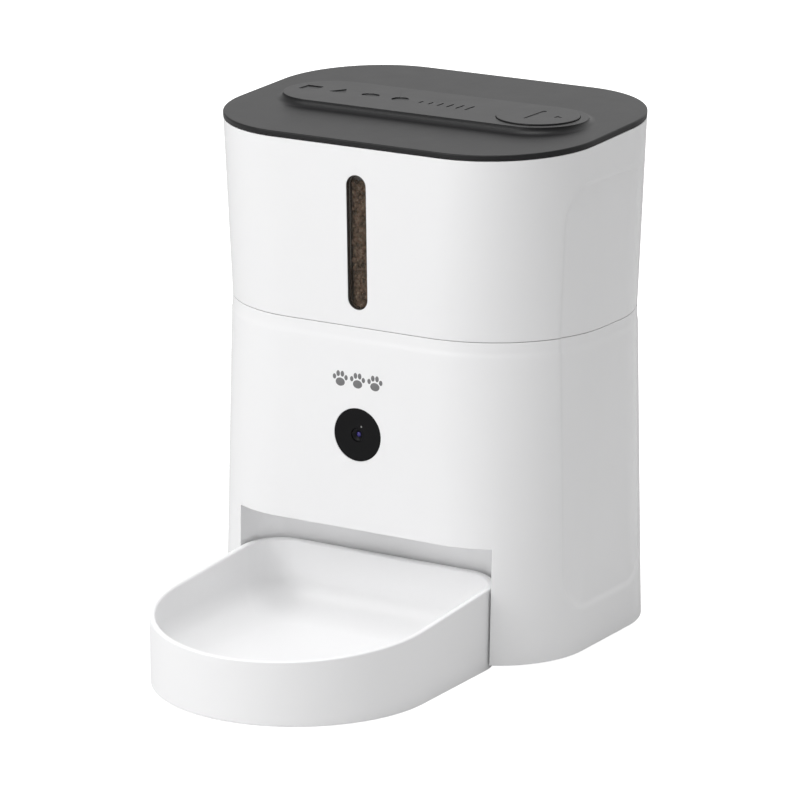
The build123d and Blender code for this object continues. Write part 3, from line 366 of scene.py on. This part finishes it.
for part in frame["record"]["subparts"]:
    piece = nodes[part["node"]]
    piece.data.materials.clear()
    piece.data.materials.append(MATERIALS[part["material_slot"]])
# The small sensor beside the lens looks dull grey, without the lens's violet coat
nodes["light_sensor"].data.materials[0] = MATERIALS["inner_grey"]


# ---------------------------------------------------------------- outlines shared by the shells and lid
# Width, depth and corner radius of the body's outline at four heights, in millimetres
BODY_BOTTOM, SEAM, SHELL_FOOT, SHELL_TOP = 4.0, 194.6, 195.2, 315.0
BASE_OUTLINE = (237.0, 172.0, 58.0)
SEAM_OUTLINE = (242.0, 169.0, 74.0)
FOOT_OUTLINE = (241.2, 168.2, 73.6)
TOP_OUTLINE = (240.0, 174.0, 63.0)
WALL = 2.6
LID_HEIGHT = 308.5
LID_TILT = math.radians(2.43)
LID_SLOPE = math.tan(LID_TILT)
LID_PLATE = 3.4

BAY_HALF = 86.3
BAY_BACK = -51.4
BAY_CORNER = 27.0
BAY_TOP = 73.5

PANEL_HALF, PANEL_CORNER, PANEL_LOW, PANEL_HIGH, PANEL_DEPTH = 45.0, 22.0, 31.0, 283.5, 0.9
PANEL_INNER_X, PANEL_SOFTNESS = 90.0, 1.6


def lower_size(z):
    """Half width, half depth and corner radius of the lower body at a height."""
    share = (z - BODY_BOTTOM) / (SEAM - BODY_BOTTOM)
    width, depth, corner = (a + (b - a) * share for a, b in zip(BASE_OUTLINE, SEAM_OUTLINE))
    return width / 2, depth / 2, corner


def upper_size(z):
    """Half width, half depth and corner radius of the upper shell at a height."""
    share = (z - SHELL_FOOT) / (SHELL_TOP - SHELL_FOOT)
    width, depth, corner = (a + (b - a) * share for a, b in zip(FOOT_OUTLINE, TOP_OUTLINE))
    return width / 2, depth / 2, corner


def lid_z(y, below=0.0):
    """Height of the lid's tilted top plane, or of a plane under it, at a depth."""
    return LID_HEIGHT + LID_SLOPE * y - below


def spread(low, high, count):
    """count values from low up to, but without, high."""
    return [low + (high - low) * k / count for k in range(count)]


# A column is a place on the outline: which stretch of a quarter it is on, how far along that
# stretch, and how far round the quarter's turn it would be on a round end.
FRONT, BAY, CORNER, EDGE, TURN, SIDE = range(6)
FRONT_STEPS = 24
QUARTER = (
    [(FRONT, s) for s in spread(0, 1, FRONT_STEPS)]
    + [(BAY, s) for s in spread(0, 1, 14)]
    + [(CORNER, s) for s in spread(0, 1, 16)]
    + [(EDGE, s) for s in spread(0, 1, 12)]
    + [(TURN, s) for s in spread(0, 1, 8)]
    + [(SIDE, s) for s in spread(0, 1, 6)]
)
# Half the width of the close columns at the side panel's edge, and the limit on a turn's sine or cosine
EDGE_ARC = 4.5
MOST_TURN = 0.9


def turn_angle(size, column):
    """How far round a quarter's corner a column is, on an outline of that size."""
    half_width, half_depth, corner = size
    stretch, share = column
    if stretch == FRONT:
        return 0.0
    if stretch == SIDE:
        return math.pi / 2
    bay = math.asin(min(MOST_TURN, (BAY_HALF - half_width + corner) / corner))
    panel = math.acos(min(MOST_TURN, (PANEL_HALF - half_depth + corner) / corner))
    reach = EDGE_ARC / corner
    stops = {
        BAY: (0, bay),
        CORNER: (bay, panel - reach),
        EDGE: (panel - reach, panel + reach),
        TURN: (panel + reach, math.pi / 2),
    }
    low, high = stops[stretch]
    return low + (high - low) * share


def quarter_point(size, column, guide):
    """A column's (x, y) on the quarter of an outline right of the front's middle."""
    half_width, half_depth, corner = size
    stretch, share = column
    if stretch == FRONT:
        return share * (half_width - corner), -half_depth
    if stretch == SIDE:
        return half_width, -(1 - share) * (half_depth - corner)
    angle = turn_angle(guide, column)
    return (
        half_width - corner + corner * math.sin(angle),
        -half_depth + corner - corner * math.cos(angle),
    )


def mirrored_columns():
    """Every column round the whole outline, anticlockwise from the front's middle, with signs."""
    ahead = [(column, 1, 1) for column in QUARTER]
    quarter = QUARTER + [(SIDE, 1.0)]
    right_back = [(column, 1, -1) for column in reversed(quarter[1:])]
    left_back = [(column, -1, -1) for column in QUARTER]
    left_front = [(column, -1, 1) for column in reversed(quarter[1:])]
    return ahead + right_back + left_back + left_front


COLUMNS = mirrored_columns()
HALF_TURN = len(COLUMNS) // 2


def outline_point(size, column, guide=None):
    """A column's (x, y) on the whole outline; guide is the outline whose corners it turns with."""
    stretch, mirror_x, mirror_y = column
    x, y = quarter_point(size, stretch, guide or size)
    return x * mirror_x, y * mirror_y


def smooth_step(low, high, value):
    """0 up to low and 1 from high on, with a soft change between them."""
    share = min(1.0, max(0.0, (value - low) / (high - low)))
    return share * share * (3 - 2 * share)


def panel_sink(x, y, z):
    """How far the side panel is sunk at a place on the wall, with soft edges."""
    if abs(x) < PANEL_INNER_X:
        return 0.0
    middle = (PANEL_LOW + PANEL_HIGH) / 2
    across = abs(y) - PANEL_HALF + PANEL_CORNER
    along = abs(z - middle) - (PANEL_HIGH - PANEL_LOW) / 2 + PANEL_CORNER
    outside = math.hypot(max(across, 0), max(along, 0)) + min(max(across, along), 0) - PANEL_CORNER
    return PANEL_DEPTH * smooth_step(PANEL_SOFTNESS, -PANEL_SOFTNESS, outside)


def skin_point(size_at, column, z, inset=0.0):
    """A point of a shell's outer skin, sunk inwards by the side panel and by inset."""
    size = size_at(z)
    x, y = outline_point(size, column)
    depth = inset + panel_sink(x, y, z)
    size = tuple(value - depth for value in size)
    x, y = outline_point(size, column)
    return x, y, z


# ---------------------------------------------------------------- mesh building
class Sheet:
    """A mesh under construction, in millimetres round the body's own middle."""

    def __init__(self):
        self.mesh = bmesh.new()

    def row(self, points):
        return [self.mesh.verts.new(Vector((x, y + BODY_Y / MM, z)) * MM) for x, y, z in points]

    def face(self, *corners):
        kept = []
        for corner in corners:
            if corner not in kept:
                kept.append(corner)
        if len(kept) > 2:
            self.mesh.faces.new(kept)

    def strip(self, low, high, closed=True):
        """Quads between two rows of the same length."""
        count = len(low)
        for k in range(count if closed else count - 1):
            after = (k + 1) % count
            self.face(low[k], low[after], high[after], high[k])

    def rings(self, rows, closed=False):
        """Strips between rows that each go right round; closed joins the last to the first."""
        for low, high in zip(rows, rows[1:] + rows[:1] if closed else rows[1:]):
            self.strip(low, high)

    def cap(self, ring, flip=False):
        self.mesh.faces.new(list(reversed(ring)) if flip else ring)

    def plain(self, name):
        """Finishes the mesh as an object of its own."""
        bmesh.ops.recalc_face_normals(self.mesh, faces=self.mesh.faces)
        data = bpy.data.meshes.new(name)
        self.mesh.to_mesh(data)
        self.mesh.free()
        made = bpy.data.objects.new(name, data)
        bpy.context.scene.collection.objects.link(made)
        return made

    def piece(self, name, material, body, slot, replaced=()):
        """Finishes the mesh as a smooth-shaded piece that rides on a body.

        slot is the record's material slot, or None where the record has none like it; it is not used."""
        bmesh.ops.remove_doubles(self.mesh, verts=self.mesh.verts, dist=1e-6)
        made = self.plain(name)
        made.data.materials.append(MATERIALS[material])
        for polygon in made.data.polygons:
            polygon.use_smooth = True
        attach(made, body)
        if replaced:
            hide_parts(*replaced)
        return made


def round_edges(made, width, angle=40, segments=3):
    """Rounds every edge sharper than an angle."""
    bevel = made.modifiers.new("round", "BEVEL")
    bevel.width = width * MM
    bevel.segments = segments
    bevel.limit_method = "ANGLE"
    bevel.angle_limit = math.radians(angle)
    bevel.use_clamp_overlap = False


def thicken(made, wall):
    """Gives a sheet its wall thickness, inwards."""
    solid = made.modifiers.new("wall", "SOLIDIFY")
    solid.thickness = wall * MM
    solid.offset = -1
    solid.use_even_offset = False


def carve(made, cutter):
    """Cuts a shape out of a piece and removes the cutter."""
    cut = made.modifiers.new("cut", "BOOLEAN")
    cut.object = cutter
    cut.operation = "DIFFERENCE"
    cut.solver = "EXACT"
    settle(made)
    bpy.data.objects.remove(cutter)


def settle(made, sharp=35):
    """Applies a piece's modifiers and keeps its edges over an angle sharp."""
    graph = bpy.context.evaluated_depsgraph_get()
    data = bpy.data.meshes.new_from_object(made.evaluated_get(graph))
    made.modifiers.clear()
    made.data = data
    for polygon in data.polygons:
        polygon.use_smooth = True
    data.set_sharp_from_angle(angle=math.radians(sharp))
    weighted = made.modifiers.new("shading", "WEIGHTED_NORMAL")
    weighted.keep_sharp = True


def hole_ring(outline, loop):
    """Where each corner of a loop lands on a hole's outline: (x, z) pairs.

    outline is (centre x, centre z, half length along x, half length along z, radius)."""
    centre_x, centre_z, reach_x, reach_z, radius = outline
    ring = []
    for x, z in loop:
        core_x = centre_x + max(-reach_x, min(reach_x, x - centre_x))
        core_z = centre_z + max(-reach_z, min(reach_z, z - centre_z))
        away = math.hypot(x - core_x, z - core_z)
        ring.append((core_x + (x - core_x) / away * radius, core_z + (z - core_z) / away * radius))
    return ring


def open_hole(sheet, grid, levels, size_at, side, outline, removed):
    """Opens a hole in a flat stretch of wall: side is -1 on the front and 1 on the back.

    The faces that the hole takes away are added to removed, as (row, column) pairs."""
    centre_x, centre_z, reach_x, reach_z, radius = outline
    margin = 2.0
    half = reach_x + radius + margin
    start = 0 if side < 0 else HALF_TURN
    turn = 1 if side < 0 else -1
    middle = min(range(len(levels)), key=lambda row: abs(levels[row] - centre_z))

    def at(row, k):
        return grid[row][(start + turn * k) % len(COLUMNS)]

    steps = range(-FRONT_STEPS, FRONT_STEPS + 1)
    left = max(k for k in steps if at(middle, k).co.x / MM <= centre_x - half)
    right = min(k for k in steps if at(middle, k).co.x / MM >= centre_x + half)
    low = max(k for k, z in enumerate(levels) if z <= centre_z - reach_z - radius - margin)
    high = min(k for k, z in enumerate(levels) if z >= centre_z + reach_z + radius + margin)
    loop = [at(low, k) for k in range(left, right)]
    loop += [at(row, right) for row in range(low, high)]
    loop += [at(high, k) for k in range(right, left, -1)]
    loop += [at(row, left) for row in range(high, low, -1)]
    for row in range(low, high):
        for k in range(left, right):
            first = k if turn > 0 else k + 1
            removed.add((row, (start + turn * first) % len(COLUMNS)))
    places = [(corner.co.x / MM, corner.co.z / MM) for corner in loop]
    ring = [(x, side * size_at(z)[1], z) for x, z in hole_ring(outline, places)]
    sheet.strip(loop, sheet.row(ring))


# ---------------------------------------------------------------- hopper shell
WINDOW = (0.0, 245.2, 0.0, 33.25, 6.6)


def hopper_levels():
    """Heights of the mesh rows, closer together where the side panel's edge turns."""
    rows = [195.2, 195.5, 196.2, 197.6] + spread(200, 258, 24) + spread(258, 290, 24)
    return rows + [290.0, 293.0, 296.0]


def build_hopper_shell():
    sheet = Sheet()
    levels = hopper_levels()
    grid = [sheet.row([skin_point(upper_size, column, z) for column in COLUMNS]) for z in levels]
    rim_gap = 0.2
    # The last rows climb to the lid's tilted underside
    for share in (0.35, 0.7, 0.9, 1.0):
        row = []
        for column in COLUMNS:
            x, y, z = skin_point(upper_size, column, levels[-1])
            top = lid_z(y, LID_PLATE + rim_gap)
            z += (top - z) * share
            x, y = outline_point(upper_size(z), column)
            row.append((x, y, z))
        grid.append(sheet.row(row))
    removed = set()
    open_hole(sheet, grid, levels, upper_size, -1, WINDOW, removed)
    for row, (low, high) in enumerate(zip(grid, grid[1:])):
        for k in range(len(COLUMNS)):
            if (row, k) not in removed:
                after = (k + 1) % len(COLUMNS)
                sheet.face(low[k], low[after], high[after], high[k])
    made = sheet.piece("hopper_skin", "white_gloss", "hopper", "white_gloss", ["hopper_shell"])
    thicken(made, WALL)
    round_edges(made, 0.25, 60, 2)
    settle(made)


# ---------------------------------------------------------------- lower body shell
def body_levels():
    rows = [4.0, 4.3, 5.0, 6.5] + spread(8.5, 26, 8) + spread(26, 56, 24) + spread(56, BAY_TOP, 7)
    rows += spread(BAY_TOP, 180, 40) + spread(180, SEAM - 0.6, 14)
    return rows + [SEAM - 0.6, SEAM - 0.2, SEAM + 0.3]


def shoulder(z):
    """The wall leans in a little over the last few millimetres under the seam."""
    lean, start, end = 0.35, SEAM - 9, SEAM - 5.5
    return lean * smooth_step(start, end, z)


def bay_path():
    """Plan of the bowl bay from its right edge round to its left, starting inside the wall."""
    corner_y = BAY_BACK - BAY_CORNER
    path = []
    corner_steps, flat_steps = 18, 24
    for k in range(1, corner_steps + 1):
        angle = math.pi / 2 * k / corner_steps
        path.append((
            BAY_HALF - BAY_CORNER + BAY_CORNER * math.cos(angle),
            corner_y + BAY_CORNER * math.sin(angle),
        ))
    inner = BAY_HALF - BAY_CORNER
    path += [(inner - 2 * inner * k / flat_steps, BAY_BACK) for k in range(1, flat_steps)]
    return path + [(-x, y) for x, y in reversed(path[:corner_steps])]


CAMERA_HOLE = (0.0, 131.0, 0.0, 0.0, 15.8)
BATTERY_HOLE = (0.0, 46.0, 46.0, 25.0, 5.0)
INLET_HOLE = (36.0, 97.94, 2.7, 0.0, 4.4)
PAIR_HOLE = (12.0, 98.0, 0.0, 0.0, 3.3)
CHUTE_HOLE = (0.0, -65.0, 18.0, 7.0, 4.0)


def build_body_shell():
    sheet = Sheet()
    levels = body_levels()
    grid = [
        sheet.row([skin_point(lower_size, column, z, shoulder(z)) for column in COLUMNS])
        for z in levels
    ]
    removed = set()
    open_hole(sheet, grid, levels, lower_size, -1, CAMERA_HOLE, removed)
    for hole in (BATTERY_HOLE, INLET_HOLE, PAIR_HOLE):
        open_hole(sheet, grid, levels, lower_size, 1, hole, removed)
    bay_row = levels.index(BAY_TOP)
    edge = QUARTER.index((CORNER, 0.0))
    count = len(COLUMNS)
    for row, (low, high) in enumerate(zip(grid, grid[1:])):
        for k in range(count):
            in_bay = row < bay_row and (k < edge or k >= count - edge)
            if (row, k) not in removed and not in_bay:
                after = (k + 1) % count
                sheet.face(low[k], low[after], high[after], high[k])
    # Bay walls from the right edge round to the left
    path = bay_path()
    walls = []
    for row in range(bay_row + 1):
        inner = sheet.row([(x, y, levels[row]) for x, y in path])
        walls.append([grid[row][edge]] + inner + [grid[row][count - edge]])
    for low, high in zip(walls, walls[1:]):
        sheet.strip(low, high, closed=False)
    # Roof of the bay, with the hole that the food falls through
    front = [grid[bay_row][k % count] for k in range(count - edge, count + edge + 1)]
    loop = front + walls[-1][1:-1]
    places = [(corner.co.x / MM, (corner.co.y - BODY_Y) / MM) for corner in loop]
    hole = [(x, y, BAY_TOP) for x, y in hole_ring(CHUTE_HOLE, places)]
    sheet.strip(loop, sheet.row(hole))
    # Loose corners left where faces were taken away
    loose = [corner for corner in sheet.mesh.verts if not corner.link_faces]
    bmesh.ops.delete(sheet.mesh, geom=loose, context="VERTS")
    made = sheet.piece("body_skin", "white_gloss", "base", "white_gloss", ["body_shell"])
    thicken(made, WALL)
    round_edges(made, 0.25, 50, 2)
    settle(made)


def build_deck():
    """The body's top: a deck with a collar that centres the hopper, round the funnel's hole."""
    sheet = Sheet()
    low, top, collar = 191.8, 194.6, 200.0
    size = lower_size(SEAM)

    def inset(depth):
        return tuple(value - depth for value in size)

    hole = (66.0, 56.0, 52.0)
    hole_back = 6.0
    profile = [
        (inset(2.5), low), (inset(2.5), top), (inset(3.4), top), (inset(3.4), collar - 0.5),
        (inset(3.7), collar), (inset(5.1), collar), (inset(5.4), collar - 0.5), (inset(5.4), top),
        (hole, top), (hole, low),
    ]
    rows = []
    for outline, z in profile:
        moved = hole_back if outline is hole else 0.0
        points = [outline_point(outline, column, size) for column in COLUMNS]
        rows.append(sheet.row([(x, y + moved, z) for x, y in points]))
    sheet.rings(rows, closed=True)
    made = sheet.piece("body_deck", "white_gloss", "base", "white_gloss", ["body_shell"])
    made.data.set_sharp_from_angle(angle=math.radians(40))


# ---------------------------------------------------------------- lid
BAR_LEVEL, BAR_HALF_LENGTH, BAR_HALF_WIDTH, BAR_SKIN, BAR_FLARE = 311.3, 99.5, 29.5, 2.0, 4.0
BUTTON_X, BUTTON_WELL = 70.0, 24.6
MARK_DEPTH = 0.6


def rounded(radius, steps=4):
    """Pairs (in from the face, back from the edge) along a rounded edge, from the side to the top."""
    turns = [math.pi / 2 * k / steps for k in range(steps + 1)]
    return [(radius * (1 - math.cos(a)), radius * (1 - math.sin(a))) for a in turns]


def lid_ring(sheet, inset, below):
    """A ring parallel to the lid's edge, that far in from it and under its top plane."""
    points = []
    for column in COLUMNS:
        size = tuple(value - inset for value in upper_size(LID_HEIGHT))
        for _ in range(3):
            x, y = outline_point(size, column)
            size = tuple(value - inset for value in upper_size(lid_z(y, below)))
        points.append((x, y, lid_z(y, below)))
    return sheet.row(points)


def bar_ring(sheet, out, height_at):
    """A ring round the lid's bar, out from its top edge; height_at gives z from y."""
    size = (BAR_HALF_LENGTH + out, BAR_HALF_WIDTH + out, BAR_HALF_WIDTH + out)
    guide = upper_size(LID_HEIGHT)
    points = [outline_point(size, column, guide) for column in COLUMNS]
    return sheet.row([(x, y, height_at(y)) for x, y in points])


def prism(name, outline, low, high):
    """A straight-sided cutter: an outline in plan between two heights."""
    cutter = Sheet()
    rows = [cutter.row([(x, y, z) for x, y in outline]) for z in (low, high)]
    cutter.strip(*rows)
    cutter.cap(rows[0], flip=True)
    cutter.cap(rows[1])
    return cutter.plain(name)


def round_outline(x, y, radius_x, radius_y=None, corners=64):
    """An ellipse, or with few corners a regular polygon, round a place."""
    turns = [2 * math.pi * (k + 0.5) / corners for k in range(corners)]
    radius_y = radius_y or radius_x
    return [(x + radius_x * math.sin(a), y - radius_y * math.cos(a)) for a in turns]


def slot_outline(x, y, length, width):
    """A slot with round ends that runs front to back."""
    reach, radius = (length - width) / 2, width / 2
    turns = [math.pi * k / 8 for k in range(9)]
    far = [(x + radius * math.cos(a), y + reach + radius * math.sin(a)) for a in turns]
    near = [(x - radius * math.cos(a), y - reach - radius * math.sin(a)) for a in turns]
    return far + near


def build_lid():
    sheet = Sheet()
    rows = [lid_ring(sheet, inset, LID_PLATE - back) for inset, back in reversed(rounded(0.3, 2))]
    rows += [lid_ring(sheet, inset, back) for inset, back in rounded(0.8)]
    rows += [lid_ring(sheet, inset, 0.0) for inset in (1.6, 4.0)]
    rows.append(bar_ring(sheet, BAR_FLARE + 1.5, lid_z))

    def flare_height(share):
        return lambda y: lid_z(y) + (BAR_LEVEL - 0.3 - lid_z(y)) * share

    for k in range(9):
        angle = math.pi / 2 * (1 - k / 8)
        out = BAR_FLARE * (1 - math.cos(angle))
        rows.append(bar_ring(sheet, out, flare_height(1 - math.sin(angle))))
    for inset, back in rounded(0.3)[1:]:
        rows.append(bar_ring(sheet, -inset, lambda y, back=back: BAR_LEVEL - back))
    rows.append(bar_ring(sheet, -1.2, lambda y: BAR_LEVEL))
    sheet.rings(rows)
    sheet.cap(rows[-1])
    under = [bar_ring(sheet, -2.5, lambda y: lid_z(y, LID_PLATE))]
    under.append(bar_ring(sheet, -2.5, lambda y: BAR_LEVEL - BAR_SKIN))
    sheet.rings([rows[0]] + under)
    sheet.cap(under[-1], flip=True)
    made = sheet.piece("lid_top", "lid_charcoal", "lid", "lid_charcoal", ["lid_cover"])
    low, high = BAR_LEVEL - MARK_DEPTH, BAR_LEVEL + 2
    square = [(-92, -3.5), (-81, -3.5), (-81, 7.5), (-92, 7.5)]
    outlines = [
        square,
        round_outline(-66, 2, 6.8, corners=3),
        round_outline(-45, 2, 5.8, 4.0),
        round_outline(-24, 1, 5.2),
    ]
    outlines += [slot_outline(-9 + 6.6 * k, 0, 5.0 + 1.2 * k, 1.3) for k in range(6)]
    for k, outline in enumerate(outlines):
        carve(made, prism("mark_cutter_%d" % k, outline, low, high))
    well = round_outline(BUTTON_X, 0, BUTTON_WELL, corners=128)
    well_depth = 12
    carve(made, prism("well_cutter", well, BAR_LEVEL - well_depth, high))


# ---------------------------------------------------------------- bowl
BOWL_RADIUS, BOWL_ARC_Y, BOWL_BACK_Y, BOWL_CORNER = 85.0, -149.5, -55.0, 25.0
BOWL_FOOT, BOWL_RIM, DISH_FLOOR, DISH_FILLET, RIM_WIDTH = 1.0, 44.5, 9.0, 19.0, 3.6
RIM_SLOPE = math.tan(math.radians(4.04))
DISH_CENTRE_Y, DISH_SOFTNESS = -140.0, 0.33


def bowl_outline(inset):
    """Plan of the bowl, that far in from its outer wall: round front, straight sides, round back."""
    radius, corner = BOWL_RADIUS - inset, BOWL_CORNER - inset
    back = BOWL_BACK_Y - inset
    half = [(radius * math.sin(a), BOWL_ARC_Y - radius * math.cos(a))
            for a in (math.pi / 2 * k / 60 for k in range(60))]
    half += [(radius, BOWL_ARC_Y + (back - corner - BOWL_ARC_Y) * k / 16) for k in range(16)]
    half += [(radius - corner + corner * math.cos(a), back - corner + corner * math.sin(a))
             for a in (math.pi / 2 * k / 20 for k in range(20))]
    half += [((radius - corner) * (1 - k / 16), back) for k in range(16)]
    mirrored = [(-x, y) for x, y in reversed(half[1:])]
    return half + [(0.0, back)] + mirrored


def rim_z(y):
    return BOWL_RIM + RIM_SLOPE * (y - BOWL_ARC_Y)


def build_bowl():
    sheet = Sheet()

    def ring(inset, height):
        """height is a level, or a depth under the rim where it is negative or zero."""
        points = bowl_outline(inset)
        return sheet.row([(x, y, height if height > 0 else rim_z(y) + height) for x, y in points])

    skin = 2.4
    rows = [ring(skin, BOWL_FOOT)]
    rows += [ring(inset, BOWL_FOOT + back) for inset, back in reversed(rounded(0.8, 3))]
    for share in range(1, 10):
        points = bowl_outline(0.0)
        low, high = BOWL_FOOT + 0.8, BOWL_RIM - 1.0
        rows.append(sheet.row([
            (x, y, low + (rim_z(y) - 1.0 - low) * share / 10) for x, y in points
        ]))
    rows += [ring(inset, -back) for inset, back in rounded(1.0)]
    rows += [ring(RIM_WIDTH - inset, -back) for inset, back in reversed(rounded(1.5))]
    inner_foot = DISH_FLOOR + DISH_FILLET
    for share in (0.25, 0.5, 0.75):
        points = bowl_outline(RIM_WIDTH)
        rows.append(sheet.row([
            (x, y, rim_z(y) - 1.5 + (inner_foot - rim_z(y) + 1.5) * share) for x, y in points
        ]))
    for k in range(21):
        angle = math.pi / 2 * k / 20
        share = 1 - DISH_SOFTNESS * (1 - math.cos(angle))
        level = DISH_FLOOR + DISH_FILLET * (1 - math.sin(angle))
        rows.append(sheet.row([
            (x * share, DISH_CENTRE_Y + (y - DISH_CENTRE_Y) * share, level)
            for x, y in bowl_outline(RIM_WIDTH)
        ]))
    sheet.rings(rows)
    sheet.cap(rows[-1])
    under = [rows[0], ring(skin, 14.0)]
    for k in range(3, 9):
        angle = math.pi / 2 * k / 8
        reach = DISH_FILLET + skin
        inset = RIM_WIDTH - skin + reach * (1 - math.cos(angle))
        under.append(ring(max(skin, inset), DISH_FLOOR - skin + reach * (1 - math.sin(angle))))
    sheet.rings(under)
    sheet.cap(under[-1], flip=True)
    made = sheet.piece("bowl_body", "bowl_white", "bowl", "bowl_white", ["bowl"])
    weighted = made.modifiers.new("shading", "WEIGHTED_NORMAL")
    weighted.keep_sharp = True
    made.data.set_sharp_from_angle(angle=math.radians(45))


# ---------------------------------------------------------------- kibble behind the window
def build_kibble():
    """A column of kibble against the window, each piece its own rounded pellet."""
    pick = random.Random(7)
    sheet = Sheet()
    low, high, half = 206.5, 283.0, 5.2
    pitch = 2.9
    rise = pitch * 0.86
    behind, layer_gap = WALL + 2.4, 2.6
    for row in range(int((high - low) / rise)):
        for step in range(-4, 4):
            for layer in range(2):
                x = (step + 0.5 * (row % 2) + pick.uniform(-0.16, 0.16)) * pitch
                z = low + row * rise + pick.uniform(-0.4, 0.4)
                depth = behind + layer_gap * layer + pick.uniform(0, 0.7)
                front = Vector((x, BODY_Y / MM + depth - upper_size(z)[1], z))
                if layer == 0 and abs(x) > half:
                    continue
                radius = pick.uniform(1.65, 2.1)
                made = bmesh.ops.create_icosphere(sheet.mesh, subdivisions=2, radius=radius * MM)
                squeeze = Vector((1.0, 0.8, pick.uniform(0.75, 1.0)))
                turn = Euler([pick.uniform(0, math.pi) for _ in range(3)]).to_matrix()
                for corner in made["verts"]:
                    lump = 1 + 0.10 * noise.noise(corner.co / MM * 0.9 + front)
                    corner.co = turn @ (corner.co * squeeze * lump) + front * MM
    sheet.piece("kibble", "kibble_brown", "hopper", None)


# ---------------------------------------------------------------- printed mark on the front
def build_paws():
    """A row of three small generic paw prints, each one pad and four toes, in thin grey ink."""
    sheet = Sheet()
    middle, step, scale = 163.0, 11.8, 0.68
    pads = [(0.0, -2.6, 4.6, 3.6)]
    pads += [(-5.8, 1.6, 1.7, 2.3), (-2.1, 4.6, 1.8, 2.6), (2.1, 4.6, 1.8, 2.6), (5.8, 1.6, 1.7, 2.3)]
    for place in (-1, 0, 1):
        for pad in pads:
            x, z, radius_x, radius_z = (scale * value for value in pad)
            rings = []
            for share, lift in ((1.0, 0.0), (0.96, 0.04)):
                outline = round_outline(
                    place * step + x, middle + z, radius_x * share, radius_z * share, 40
                )
                rings.append(sheet.row([
                    (a, shoulder(b) - lower_size(b)[1] - lift, b) for a, b in outline
                ]))
            sheet.rings(rings)
            sheet.cap(rings[-1])
    sheet.piece("paw_prints", "print_grey", "base", "inner_grey")


# ---------------------------------------------------------------- camera
CAMERA_Z, LENS_RADIUS = 131.0, 3.9


def build_lens():
    """The lens: a domed glass set just inside the bezel's hole, in a stepped black ring."""
    face = lower_size(CAMERA_Z)[1]
    for name, material, profile in (
        ("lens_ring", "lens_black", [(3.85, 0.6), (3.7, 0.35), (3.4, 0.35), (3.2, 0.6), (2.4, 0.8),
                                     (2.3, 1.1), (1.8, 1.2), (1.7, 2.0)]),
        ("lens_dome", "lens_glass", [(1.65 * math.sin(a), 2.0 - 1.0 * math.cos(a))
                                     for a in (math.pi / 2 * (1 - k / 10) for k in range(10))]),
    ):
        sheet = Sheet()
        rows = []
        for radius, depth in profile:
            circle = round_outline(0.0, CAMERA_Z, radius, corners=48)
            rows.append(sheet.row([(x, depth - face, z) for x, z in circle]))
        sheet.rings(rows)
        sheet.cap(rows[-1])
        sheet.piece(name, material, "base", material, ["lens_glass"] if name == "lens_dome" else [])


# ---------------------------------------------------------------- window gasket
def stadium_ring(sheet, radius, depth):
    """A ring on the window's outline, at a depth behind the shell's front."""
    centre_x, centre_z, reach_x, reach_z, _ = WINDOW
    turns = [math.pi * k / 16 for k in range(17)]
    top = [(radius * math.cos(a), reach_z + radius * math.sin(a)) for a in turns]
    low = [(-x, -z) for x, z in top]
    places = [(centre_x + x, centre_z + z) for x, z in top + low]
    return sheet.row([(x, depth - upper_size(z)[1], z) for x, z in places])


def build_gasket():
    """A dark sleeve between the smoked panel and the shell, and one lining the tank's slot."""
    sheet = Sheet()
    for outer, inner, near, far in ((6.58, 6.44, 0.35, 3.3), (6.08, 5.9, 3.4, 5.2)):
        profile = [(outer, near), (inner, near), (inner, far), (outer, far)]
        sheet.rings([stadium_ring(sheet, radius, depth) for radius, depth in profile], closed=True)
    made = sheet.piece("window_gasket", "foot_rubber", "hopper", "foot_rubber")
    made.data.set_sharp_from_angle(angle=math.radians(40))


# ---------------------------------------------------------------- springs
# Radius of the springs' wire
WIRE = 0.35


def build_spring(node, foot, direction, coil, length, turns):
    """A wire coil in place of a CAD spring, wound from its foot along a direction."""
    sides, steps = 10, 28
    direction = Vector(direction).normalized()
    side = direction.orthogonal().normalized()
    other = direction.cross(side)
    sheet = Sheet()
    rows = []
    count = turns * steps
    for k in range(count + 1):
        angle = 2 * math.pi * k / steps
        out = side * math.cos(angle) + other * math.sin(angle)
        along = (other * math.cos(angle) - side * math.sin(angle)) * coil * 2 * math.pi * turns
        along = (along + direction * length).normalized()
        across = along.cross(out)
        centre = Vector(foot) + out * coil + direction * (length * k / count)
        circle = [2 * math.pi * s / sides for s in range(sides)]
        points = [centre + (out * math.cos(a) + across * math.sin(a)) * WIRE for a in circle]
        rows.append(sheet.row([(q.x, q.y - BODY_Y / MM, q.z) for q in points]))
    sheet.rings(rows)
    sheet.cap(rows[0], flip=True)
    sheet.cap(rows[-1])
    made = sheet.piece(node + "_coil", "spring_steel", "lid", "spring_steel", [node])
    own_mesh(made)


def build_springs():
    """The spring under the push button and the one behind the latch bolt."""
    low, high = (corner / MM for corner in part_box("button_spring"))
    lean = (high.z - low.z) / 2 * math.sin(LID_TILT)
    foot = ((low.x + high.x) / 2, (low.y + high.y) / 2 + lean, low.z + WIRE)
    up = (0.0, -math.sin(LID_TILT), math.cos(LID_TILT))
    coil, length, turns, travel = 2.3, 7.4, 6, 3.0
    build_spring("button_spring", foot, up, coil, length, turns)
    low, high = (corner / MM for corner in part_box("bolt_spring"))
    foot = (low.x + WIRE, (low.y + high.y) / 2, (low.z + high.z) / 2)
    coil, length, turns, travel = 2.2, 13.8, 7, 3.6
    build_spring("bolt_spring", foot, (1, 0, 0), coil, length, turns)


build_hopper_shell()
build_body_shell()
build_deck()
build_lid()
build_bowl()
build_kibble()
build_paws()
build_lens()
build_gasket()
build_springs()
